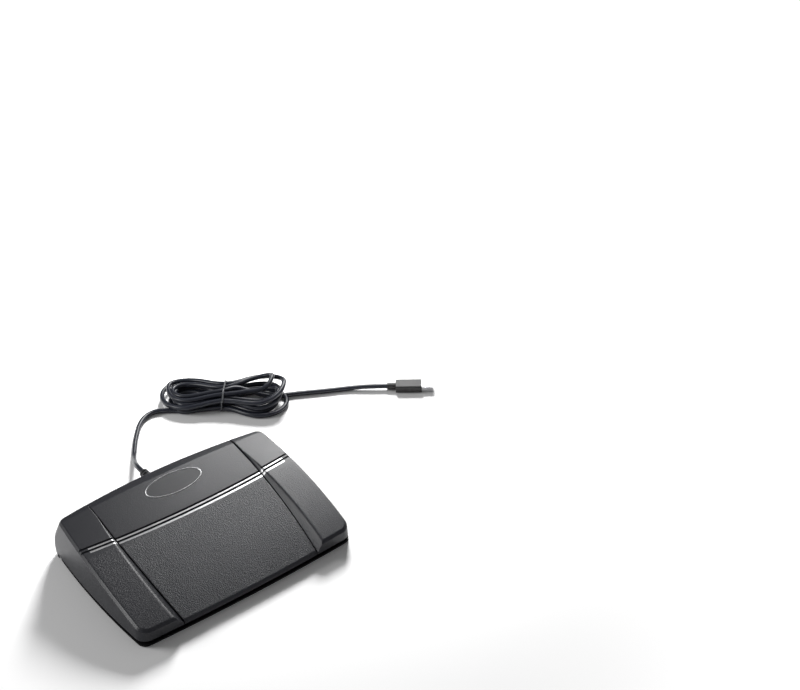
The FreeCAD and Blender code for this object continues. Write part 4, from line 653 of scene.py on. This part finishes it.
def side_point(side, row, seam_inset, side_inset, share):
    toe_inset, heel_inset = row - TOE_Y, TOP_END_Y - row
    round_inset, turn, at_heel = side_inset, 0.0, False
    if share == 1.0 and toe_inset < TOE_CORNER_RADIUS:
        side_inset, toe_inset, round_inset, _ = corner_shift(side_inset, toe_inset, TOE_CORNER_RADIUS)
        row = TOE_Y + toe_inset
        toe_inset = round_inset
    elif share == 1.0 and heel_inset < HEEL_CORNER_RADIUS:
        side_inset, heel_inset, round_inset, turn = corner_shift(side_inset, heel_inset,
                                                                 HEEL_CORNER_RADIUS)
        row, at_heel = TOP_END_Y - heel_inset, True

    def column(y, z):
        near = seam_x(y) + SEAM_HALF_GAP + (seam_inset or 0.0)
        far = side_x(y, z) - (side_inset or 0.0)
        return side * (near + (far - near) * share)

    x, y = place_in_plan(column, row, SIDE_TOP_HEIGHTS[1])
    z = open_top(SIDE_TOP, x, y)
    for _ in range(2):
        x, y = place_in_plan(column, row, z)
        z = open_top(SIDE_TOP, x, y)
    drop = groove_drop(x, y)
    drop = max(drop, bevel_drop(toe_inset, SIDE_BEVEL))
    if share == 0.0:
        cove = cove_drop(seam_inset, y)
        drop = max(drop, cove, round_drop(seam_inset, SEAM_ROUND))
        if cove > 0:
            drop = max(drop, cove + round_drop(seam_inset, SEAM_ROUND))
    if round_inset is not None:
        edge = bevel_drop(round_inset, SIDE_BEVEL)
        if at_heel:
            crest = max(z - smooth_min(z, crest_height(round_inset), CREST_SOFTNESS), 0.0)
            ease = smooth_step(0.0, 1.0, turn)
            edge = edge * (1 - ease) + crest * ease
        drop = max(drop, edge)
    z -= drop
    if not at_heel and heel_inset < HEEL_CORNER_RADIUS:
        z = smooth_min(z, crest_height(heel_inset), CREST_SOFTNESS)
    return column, row, z


def centre_grid():
    specs = [(inset, 0.0) for inset in SEAM_COLUMNS]
    specs += [(SEAM_COLUMNS[-1], k / CENTRE_STEPS) for k in range(1, CENTRE_STEPS)]
    specs += [(inset, 1.0) for inset in reversed(SEAM_COLUMNS)]
    return [[centre_point(row, *spec) for spec in specs] for row in row_places()]


def centre_point(row, inset, share):
    toe_inset, heel_inset = row - TOE_Y, TOP_END_Y - row

    def column(y, z):
        half = seam_x(y) - SEAM_HALF_GAP - inset
        return half * (2 * share - 1)

    x, y = place_in_plan(column, row, CENTRE_TOP_HEIGHTS[1])
    z = open_top(CENTRE_TOP, x, y)
    for _ in range(2):
        x, y = place_in_plan(column, row, z)
        z = open_top(CENTRE_TOP, x, y)
    z -= max(groove_drop(x, y), bevel_drop(toe_inset, CENTRE_TOE_BEVEL), round_drop(inset, SEAM_ROUND))
    if heel_inset < HEEL_CORNER_RADIUS:
        z = smooth_min(z, crest_height(heel_inset), CREST_SOFTNESS)
    return column, row, z


def add_wall_thickness(piece):
    wall = piece.modifiers.new("wall", "SOLIDIFY")
    wall.thickness = SHELL_WALL * MM
    wall.offset = -1
    wall.use_even_offset = True
    wall.thickness_clamp = 1.0


def cut_with(piece, cutter):
    cut = piece.modifiers.new("cut_" + cutter.name, "BOOLEAN")
    cut.object = cutter
    cut.operation = "DIFFERENCE"
    cut.solver = "EXACT"


def apply_modifiers(piece, *helpers):
    result = bpy.data.meshes.new_from_object(piece.evaluated_get(bpy.context.evaluated_depsgraph_get()))
    piece.modifiers.clear()
    piece.data = result
    for helper in helpers:
        bpy.data.objects.remove(helper)


def shade(mesh, sharp_angle=40.0):
    mesh.polygons.foreach_set("use_smooth", [True] * len(mesh.polygons))
    mesh.set_sharp_from_angle(angle=math.radians(sharp_angle))


def mark_painted_highlight(piece):
    """Second material, the painted highlight, on the upward faces of the ridge between the grooves and of the lip
    before them.
    """
    for face in piece.data.polygons:
        x, y, _ = face.center / MM
        if abs(x) > HIGHLIGHT_END_X or face.normal.z < HIGHLIGHT_LEAST_NORMAL:
            continue
        place = y - arc_drop(GROOVE_PLAN_RADIUS, x)
        on_ridge = abs(place - RIDGE_MIDDLE) < RIDGE_HALF_WIDTH + HIGHLIGHT_MARGIN
        if on_ridge or LIP_START < place < GROOVE_EDGES[2] + HIGHLIGHT_MARGIN:
            face.material_index = 1


def badge_matrix(height):
    """Where the badge sits: square to the centre top, height above it."""
    x, y = BADGE_PLACE
    tilt = math.asin((y - CENTRE_TOP[0]) / CENTRE_TOP[2])
    place = Matrix.Translation(Vector((x, y, top_height(CENTRE_TOP, y))) * MM)
    return place @ Matrix.Rotation(-tilt, 4, "X") @ Matrix.Translation((0, 0, height * MM))


def prism(name, outline, low, high, matrix):
    """Closed prism from an outline in millimetres, used only to cut."""
    count = len(outline)
    points = [(x, y, z) for z in (low, high) for x, y in outline]
    faces = [tuple(range(count - 1, -1, -1)), tuple(range(count, 2 * count))]
    for k in range(count):
        after = (k + 1) % count
        faces.append((k, after, count + after, count + k))
    mesh = mesh_from(name, points, faces)
    mesh.transform(matrix)
    cutter = bpy.data.objects.new(name, mesh)
    bpy.context.collection.objects.link(cutter)
    return cutter


def oval(half_length, half_depth, count=96):
    return [(half_length * math.cos(2 * math.pi * k / count), half_depth * math.sin(2 * math.pi * k / count))
            for k in range(count)]


def add_side_treadle(name, side):
    piece = new_piece(name + "_treadle_shell", skin_mesh(name + "_treadle_shell", side_grid(side)),
                      name + "_pedal", "treadle_plastic", name + "_treadle")
    add_wall_thickness(piece)
    apply_modifiers(piece)
    shade(piece.data)
    return piece


def add_centre_treadle():
    piece = new_piece("centre_treadle_shell", skin_mesh("centre_treadle_shell", centre_grid()),
                      "centre_pedal", "treadle_plastic", "centre_treadle")
    add_wall_thickness(piece)
    recess = prism("badge_recess", oval(BADGE_HALF_LENGTH + BADGE_GAP, BADGE_HALF_DEPTH + BADGE_GAP),
                   -BADGE_RECESS, 5.0, badge_matrix(0.0))
    stand_up = Matrix.Translation(Vector((CORD_X, HEEL_Y, CORD_HEIGHT)) * MM) @ Matrix.Rotation(
        math.pi / 2, 4, "X")
    hole = prism("relief_hole", oval(RELIEF_HOLE_RADIUS, RELIEF_HOLE_RADIUS), -15.0, 15.0, stand_up)
    cut_with(piece, recess)
    cut_with(piece, hole)
    apply_modifiers(piece, recess, hole)
    shade(piece.data)
    return piece


def add_badge():
    """Oval plate with a rounded raised rim, curved with the treadle top."""
    count = BADGE_SIDES
    points, faces = [], []
    y_middle = BADGE_PLACE[1]
    tilt = math.asin((y_middle - CENTRE_TOP[0]) / CENTRE_TOP[2])
    sag_radius = CENTRE_TOP[2]
    for inset, height in BADGE_PROFILE:
        for x, y in oval(BADGE_HALF_LENGTH - inset, BADGE_HALF_DEPTH - inset, count):
            points.append((x, y, height - y * y / (2 * sag_radius)))
    for ring in range(len(BADGE_PROFILE) - 1):
        for k in range(count):
            a, b = ring * count + k, ring * count + (k + 1) % count
            faces.append((a, b, b + count, a + count))
    last = (len(BADGE_PROFILE) - 1) * count
    faces.append(tuple(range(last, last + count)))
    faces.append(tuple(range(count - 1, -1, -1)))
    mesh = mesh_from("badge_plate", points, faces)
    place = Matrix.Translation(Vector((*BADGE_PLACE, top_height(CENTRE_TOP, y_middle))) * MM)
    mesh.transform(place @ Matrix.Rotation(-tilt, 4, "X"))
    shade(mesh)
    return new_piece("badge_plate", mesh, "centre_pedal", "badge_plastic", "oval_badge")


# Springs

def tube_mesh(name, points, radius, sides):
    """Closed round tube along points."""
    verts, faces = [], []
    for k, point in enumerate(points):
        before, after = points[max(k - 1, 0)], points[min(k + 1, len(points) - 1)]
        way = (Vector(after) - Vector(before)).normalized()
        across = way.cross(Vector((0, 0, 1))).normalized()
        up = across.cross(way)
        for s in range(sides):
            angle = 2 * math.pi * s / sides
            verts.append(Vector(point) + (across * math.cos(angle) + up * math.sin(angle)) * radius)
    for k in range(len(points) - 1):
        for s in range(sides):
            a, b = k * sides + s, k * sides + (s + 1) % sides
            faces.append((a, a + sides, b + sides, b))
    last = (len(points) - 1) * sides
    faces.append(tuple(range(sides)))
    faces.append(tuple(range(last + sides - 1, last - 1, -1)))
    return mesh_from(name, verts, faces)


def add_spring(name, x, top, turns, joint):
    steps = turns * SPRING_STEPS_PER_TURN
    low, high = SPRING_BOTTOM + SPRING_WIRE_RADIUS, top - SPRING_WIRE_RADIUS
    points = []
    for k in range(steps + 1):
        angle = 2 * math.pi * turns * k / steps
        points.append((x + SPRING_MEAN_RADIUS * math.cos(angle), SPRING_Y + SPRING_MEAN_RADIUS * math.sin(angle),
                       low + (high - low) * k / steps))
    mesh = tube_mesh(name + "_coil", points, SPRING_WIRE_RADIUS, 10)
    shade(mesh)
    piece = new_piece(name + "_coil", mesh, "base", "spring_steel", name)
    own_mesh(piece)
    return piece


# Floor and light

def add_floor():
    """Pale floor with real shadows near the pedal, lit evenly white further away."""
    half = FLOOR_SIZE / 2
    mesh = bpy.data.meshes.new("floor")
    mesh.from_pydata([(-half, -half, 0), (half, -half, 0), (half, half, 0), (-half, half, 0)], [], [(0, 1, 2, 3)])
    floor = bpy.data.objects.new("floor", mesh)
    bpy.context.collection.objects.link(floor)
    material, tree, shader, place = new_material("pale_floor", 0.9)
    shader.inputs["Base Color"].default_value = (0.93, 0.93, 0.93, 1)
    shader.inputs["Specular IOR Level"].default_value = 0.1
    shader.inputs["Emission Color"].default_value = (1, 1, 1, 1)
    reach = tree.nodes.new("ShaderNodeVectorMath")
    reach.operation = "DISTANCE"
    reach.inputs[1].default_value = (*FLOOR_MIDDLE, 0)
    link(tree, place, reach.inputs[0])
    glow = tree.nodes.new("ShaderNodeMapRange")
    glow.interpolation_type = "SMOOTHSTEP"
    glow.inputs["From Min"].default_value = GLOW_START
    glow.inputs["From Max"].default_value = GLOW_END
    glow.inputs["To Max"].default_value = GLOW_STRENGTH
    link(tree, reach.outputs["Value"], glow.inputs["Value"])
    path = tree.nodes.new("ShaderNodeLightPath")
    seen = tree.nodes.new("ShaderNodeMath")
    seen.operation = "MULTIPLY"
    link(tree, glow.outputs["Result"], seen.inputs[0])
    link(tree, path.outputs["Is Camera Ray"], seen.inputs[1])
    link(tree, seen.outputs[0], shader.inputs["Emission Strength"])
    floor.data.materials.append(material)
    return floor


def add_softbox(name, place, size, radiance, floor_state):
    """Flat lamp that faces the pedal, and leaves the floor out or lights it alone."""
    data = bpy.data.lights.new(name, "AREA")
    data.shape = "RECTANGLE"
    data.size, data.size_y = size
    data.energy = math.pi * radiance * size[0] * size[1]
    lamp = bpy.data.objects.new(name, data)
    lamp.location = place
    lamp.rotation_euler = Vector(place).to_track_quat("Z", "Y").to_euler()
    bpy.context.collection.objects.link(lamp)
    receivers = bpy.data.collections.new(name + "_floor")
    receivers.objects.link(floor)
    receivers.collection_objects[0].light_linking.link_state = floor_state
    lamp.light_linking.receiver_collection = receivers


def add_world():
    world = bpy.data.worlds.new("studio")
    bpy.context.scene.world = world
    world.use_nodes = True
    tree = world.node_tree
    background = tree.nodes["Background"]
    path = tree.nodes.new("ShaderNodeLightPath")
    seen = tree.nodes.new("ShaderNodeMath")
    seen.operation = "MAXIMUM"
    tree.links.new(path.outputs["Is Camera Ray"], seen.inputs[0])
    tree.links.new(path.outputs["Is Transmission Ray"], seen.inputs[1])
    strength = tree.nodes.new("ShaderNodeMapRange")
    strength.inputs["To Min"].default_value = WORLD_STRENGTH
    strength.inputs["To Max"].default_value = 1.0
    tree.links.new(seen.outputs[0], strength.inputs["Value"])
    tree.links.new(strength.outputs["Result"], background.inputs["Strength"])
    background.inputs["Color"].default_value = (1, 1, 1, 1)


# Materials

def link(tree, source, target):
    tree.links.new(source, target)


def shader_group(name, inputs, outputs):
    group = bpy.data.node_groups.new(name, "ShaderNodeTree")
    for label, kind, value in inputs:
        socket = group.interface.new_socket(label, in_out="INPUT", socket_type=kind)
        if value is not None:
            socket.default_value = value
    for label, kind in outputs:
        group.interface.new_socket(label, in_out="OUTPUT", socket_type=kind)
    return group, group.nodes.new("NodeGroupInput"), group.nodes.new("NodeGroupOutput")


def noise(tree, scale, detail, roughness=0.5):
    node = tree.nodes.new("ShaderNodeTexNoise")
    node.inputs["Scale"].default_value = scale
    node.inputs["Detail"].default_value = detail
    node.inputs["Roughness"].default_value = roughness
    return node


def grain_group():
    """Spark-eroded mould grain: small rounded pits of uneven size."""
    group, entry, exit_node = shader_group(
        "mould_grain", [("Vector", "NodeSocketVector", None), ("Scale", "NodeSocketFloat", 1400.0)],
        [("Height", "NodeSocketFloat")])
    cells = group.nodes.new("ShaderNodeTexVoronoi")
    cells.feature = "SMOOTH_F1"
    cells.inputs["Smoothness"].default_value = 0.6
    fine = noise(group, 1.0, 3.0)
    link(group, entry.outputs["Vector"], cells.inputs["Vector"])
    link(group, entry.outputs["Vector"], fine.inputs["Vector"])
    link(group, entry.outputs["Scale"], cells.inputs["Scale"])
    double = group.nodes.new("ShaderNodeMath")
    double.operation = "MULTIPLY"
    double.inputs[1].default_value = 2.3
    link(group, entry.outputs["Scale"], double.inputs[0])
    link(group, double.outputs[0], fine.inputs["Scale"])
    add = group.nodes.new("ShaderNodeMath")
    add.operation = "ADD"
    link(group, cells.outputs["Distance"], add.inputs[0])
    link(group, fine.outputs["Fac"], add.inputs[1])
    link(group, add.outputs[0], exit_node.inputs["Height"])
    return group


def handling_group():
    """Faint uneven sheen where hands and shoes have touched: 0 where clean, 1 where rubbed."""
    group, entry, exit_node = shader_group(
        "handling_marks", [("Vector", "NodeSocketVector", None), ("Scale", "NodeSocketFloat", 18.0)],
        [("Mask", "NodeSocketFloat")])
    broad = noise(group, 18.0, 5.0, 0.62)
    link(group, entry.outputs["Vector"], broad.inputs["Vector"])
    link(group, entry.outputs["Scale"], broad.inputs["Scale"])
    ramp = group.nodes.new("ShaderNodeValToRGB")
    ramp.color_ramp.elements[0].position = 0.42
    ramp.color_ramp.elements[1].position = 0.72
    link(group, broad.outputs["Fac"], ramp.inputs["Fac"])
    link(group, ramp.outputs["Color"], exit_node.inputs["Mask"])
    return group


GRAIN = grain_group()
HANDLING = handling_group()


def use_group(tree, group, **values):
    node = tree.nodes.new("ShaderNodeGroup")
    node.node_tree = group
    for label, value in values.items():
        node.inputs[label].default_value = value
    return node


def new_material(name, roughness, metallic=0.0, ior=1.5, coat=0.0, coat_roughness=0.1):
    material = bpy.data.materials.new(name)
    material.use_nodes = True
    tree = material.node_tree
    shader = tree.nodes["Principled BSDF"]
    shader.inputs["Roughness"].default_value = roughness
    shader.inputs["Metallic"].default_value = metallic
    shader.inputs["IOR"].default_value = ior
    shader.inputs["Coat Weight"].default_value = coat
    shader.inputs["Coat Roughness"].default_value = coat_roughness
    place = tree.nodes.new("ShaderNodeTexCoord")
    return material, tree, shader, place.outputs["Object"]


def mixed_colour(tree, factor, low, high):
    mix = tree.nodes.new("ShaderNodeMix")
    mix.data_type = "RGBA"
    mix.inputs["A"].default_value = (*low, 1)
    mix.inputs["B"].default_value = (*high, 1)
    link(tree, factor, mix.inputs["Factor"])
    return mix.outputs["Result"]


def ranged(tree, value, low, high):
    node = tree.nodes.new("ShaderNodeMapRange")
    node.inputs["To Min"].default_value = low
    node.inputs["To Max"].default_value = high
    link(tree, value, node.inputs["Value"])
    return node.outputs["Result"]


def bump(tree, shader, height, strength, distance):
    node = tree.nodes.new("ShaderNodeBump")
    node.inputs["Strength"].default_value = strength
    node.inputs["Distance"].default_value = distance
    link(tree, height, node.inputs["Height"])
    link(tree, node.outputs["Normal"], shader.inputs["Normal"])
    return node


def moulded_plastic(name, colour, roughness, grain_scale, grain_height, ior=1.5):
    """Moulded plastic with mould grain and faint handling marks."""
    material, tree, shader, place = new_material(name, roughness, ior=ior)
    grain = use_group(tree, GRAIN, Scale=grain_scale)
    marks = use_group(tree, HANDLING, Scale=MARKS_SCALE)
    link(tree, place, grain.inputs["Vector"])
    link(tree, place, marks.inputs["Vector"])
    worn = tuple(c * WORN_GAIN for c in colour)
    link(tree, mixed_colour(tree, marks.outputs["Mask"], colour, worn), shader.inputs["Base Color"])
    link(tree, ranged(tree, marks.outputs["Mask"], roughness, roughness - 0.06), shader.inputs["Roughness"])
    bump(tree, shader, grain.outputs["Height"], 1.0, grain_height)
    return material


def treadle_plastic():
    """Charcoal moulding: coarse grain on the centre front, finer beside it, satin behind the grooves."""
    material, tree, shader, place = new_material("charcoal_treadle", TREADLE_ROUGHNESS)
    grain = use_group(tree, GRAIN, Scale=GRAIN_SCALE)
    marks = use_group(tree, HANDLING, Scale=MARKS_SCALE)
    for node in (grain, marks):
        link(tree, place, node.inputs["Vector"])
    worn = tuple(c * WORN_GAIN for c in CHARCOAL)
    link(tree, mixed_colour(tree, marks.outputs["Mask"], CHARCOAL, worn), shader.inputs["Base Color"])
    satin = ranged(tree, marks.outputs["Mask"], TREADLE_ROUGHNESS, TREADLE_ROUGHNESS - 0.05)
    link(tree, satin, shader.inputs["Roughness"])
    axes = tree.nodes.new("ShaderNodeSeparateXYZ")
    link(tree, place, axes.inputs[0])
    behind = stepped(tree, axes.outputs["Y"], *GRAIN_BEHIND)
    away = tree.nodes.new("ShaderNodeMath")
    away.operation = "ABSOLUTE"
    link(tree, axes.outputs["X"], away.inputs[0])
    beside = stepped(tree, away.outputs[0], *GRAIN_BESIDE)
    outside = stepped(tree, away.outputs[0], *GRAIN_OUTSIDE)
    strength = behind
    for part in (beside, outside):
        times = tree.nodes.new("ShaderNodeMath")
        times.operation = "MULTIPLY"
        link(tree, strength, times.inputs[0])
        link(tree, part, times.inputs[1])
        strength = times.outputs[0]
    grained = bump(tree, shader, grain.outputs["Height"], 1.0, GRAIN_HEIGHT)
    link(tree, strength, grained.inputs["Strength"])
    return material


def stepped(tree, value, start, end, low, high):
    """Low below start, high above end, both in millimetres."""
    node = tree.nodes.new("ShaderNodeMapRange")
    node.inputs["From Min"].default_value = start * MM
    node.inputs["From Max"].default_value = end * MM
    node.inputs["To Min"].default_value = low
    node.inputs["To Max"].default_value = high
    link(tree, value, node.inputs["Value"])
    return node.outputs["Result"]


def highlight_painted_plastic():
    """Glossy ridge, lip and badge rim whose light half-metal grey is painted highlight: it stands in for the
    bright lines these rounded edges catch.
    """
    material, tree, shader, place = new_material("painted_highlight_ridge", 0.3, metallic=0.6, coat=1.0,
                                                 coat_roughness=0.12)
    marks = use_group(tree, HANDLING, Scale=60.0)
    link(tree, place, marks.inputs["Vector"])
    # The grey of 0.42 to 0.5 is painted highlight, far lighter than the charcoal plastic of the ribs; the
    # handling marks vary it
    link(tree, mixed_colour(tree, marks.outputs["Mask"], (0.42, 0.42, 0.43), (0.5, 0.5, 0.5)),
         shader.inputs["Base Color"])
    link(tree, ranged(tree, marks.outputs["Mask"], 0.28, 0.34), shader.inputs["Roughness"])
    return material


def finish_nodes(material, *names):
    for name in names:
        mesh = nodes[name].data
        mesh.materials.clear()
        mesh.materials.append(material)


def dress(piece, *materials):
    piece.data.materials.clear()
    for material in materials:
        piece.data.materials.append(material)


def brushed_metal(name, colour, roughness):
    material, tree, shader, place = new_material(name, roughness, metallic=1.0)
    stretch = tree.nodes.new("ShaderNodeMapping")
    stretch.inputs["Scale"].default_value = (60.0, 900.0, 900.0)
    streaks = noise(tree, 1.0, 3.0)
    link(tree, place, stretch.inputs["Vector"])
    link(tree, stretch.outputs["Vector"], streaks.inputs["Vector"])
    dark = tuple(c * 0.82 for c in colour)
    link(tree, mixed_colour(tree, streaks.outputs["Fac"], dark, colour), shader.inputs["Base Color"])
    link(tree, ranged(tree, streaks.outputs["Fac"], roughness - 0.08, roughness + 0.1),
         shader.inputs["Roughness"])
    bump(tree, shader, streaks.outputs["Fac"], 0.3, 0.00002)
    return material


# Build

add_camera()
tie = add_tie()
cable = add_cable()
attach(cable, "base")
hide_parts("cord_run", "cord_hank", "cord_tail")

left_shell = add_side_treadle("left", -1)
right_shell = add_side_treadle("right", 1)
centre_shell = add_centre_treadle()
badge = add_badge()
springs = [add_spring(name, *facts) for name, facts in SPRINGS.items()]

floor = add_floor()
for softbox in SOFTBOXES:
    add_softbox(*softbox)
add_world()
bpy.context.scene.view_settings.view_transform = "Standard"

treadle_material = treadle_plastic()
highlight_painted_material = highlight_painted_plastic()
# Each shell's ridge and lip faces get the painted highlight material as their second slot
for piece in (left_shell, right_shell, centre_shell):
    dress(piece, treadle_material, highlight_painted_material)
    mark_painted_highlight(piece)
dress(badge, moulded_plastic("badge_charcoal", (0.011, 0.0115, 0.0145), 0.5, 2600.0, 0.00001),
      highlight_painted_material)
# The badge's rim rings get the painted highlight material
for face in badge.data.polygons[:BADGE_RIM_RINGS * BADGE_SIDES]:
    face.material_index = 1
dress(cable, moulded_plastic("cable_sheath", (0.010, 0.012, 0.020), 0.34, 900.0, 0.00001))
finish_nodes(moulded_plastic("black_powder_coat", (0.003, 0.003, 0.004), 0.8, 2000.0, 0.00003, ior=1.2),
             "base_plate")
finish_nodes(moulded_plastic("relief_rubber", (0.018, 0.018, 0.02), 0.45, 1500.0, 0.00002),
             "strain_relief", "rubber_feet", "bump_stops")
dress(tie, moulded_plastic("grey_tie", (0.06, 0.062, 0.068), 0.4, 1500.0, 0.00002))
finish_nodes(moulded_plastic("black_nylon", (0.02, 0.02, 0.02), 0.5, 1800.0, 0.00002),
             "stand_bushes", "spring_seats", "cord_clamp", "inner_cord", "plug_body", "controller_chip",
             "left_switch", "centre_switch", "right_switch", "board_standoffs")
finish_nodes(moulded_plastic("white_nylon", (0.7, 0.68, 0.62), 0.45, 1800.0, 0.00002),
             "cable_connector", "left_switch_button", "centre_switch_button", "right_switch_button",
             "plug_tongue")
finish_nodes(moulded_plastic("green_board", (0.02, 0.12, 0.05), 0.4, 1200.0, 0.00001), "circuit_board")
finish_nodes(brushed_metal("zinc_steel", (0.55, 0.56, 0.58), 0.35),
             "left_outer_stand", "left_inner_stand", "right_inner_stand", "right_outer_stand",
             "treadle_keepers", "relief_bracket", "stand_screws", "keeper_screws", "board_screws",
             "bracket_screws", "clamp_screws", "board_parts")
bright = brushed_metal("bright_steel", (0.7, 0.7, 0.72), 0.22)
finish_nodes(bright, "hinge_shaft", "shaft_clips", "plug_shell")
finish_nodes(brushed_metal("gold_contacts", (0.8, 0.6, 0.25), 0.3), "plug_contacts")
for spring in springs:
    dress(spring, bright)
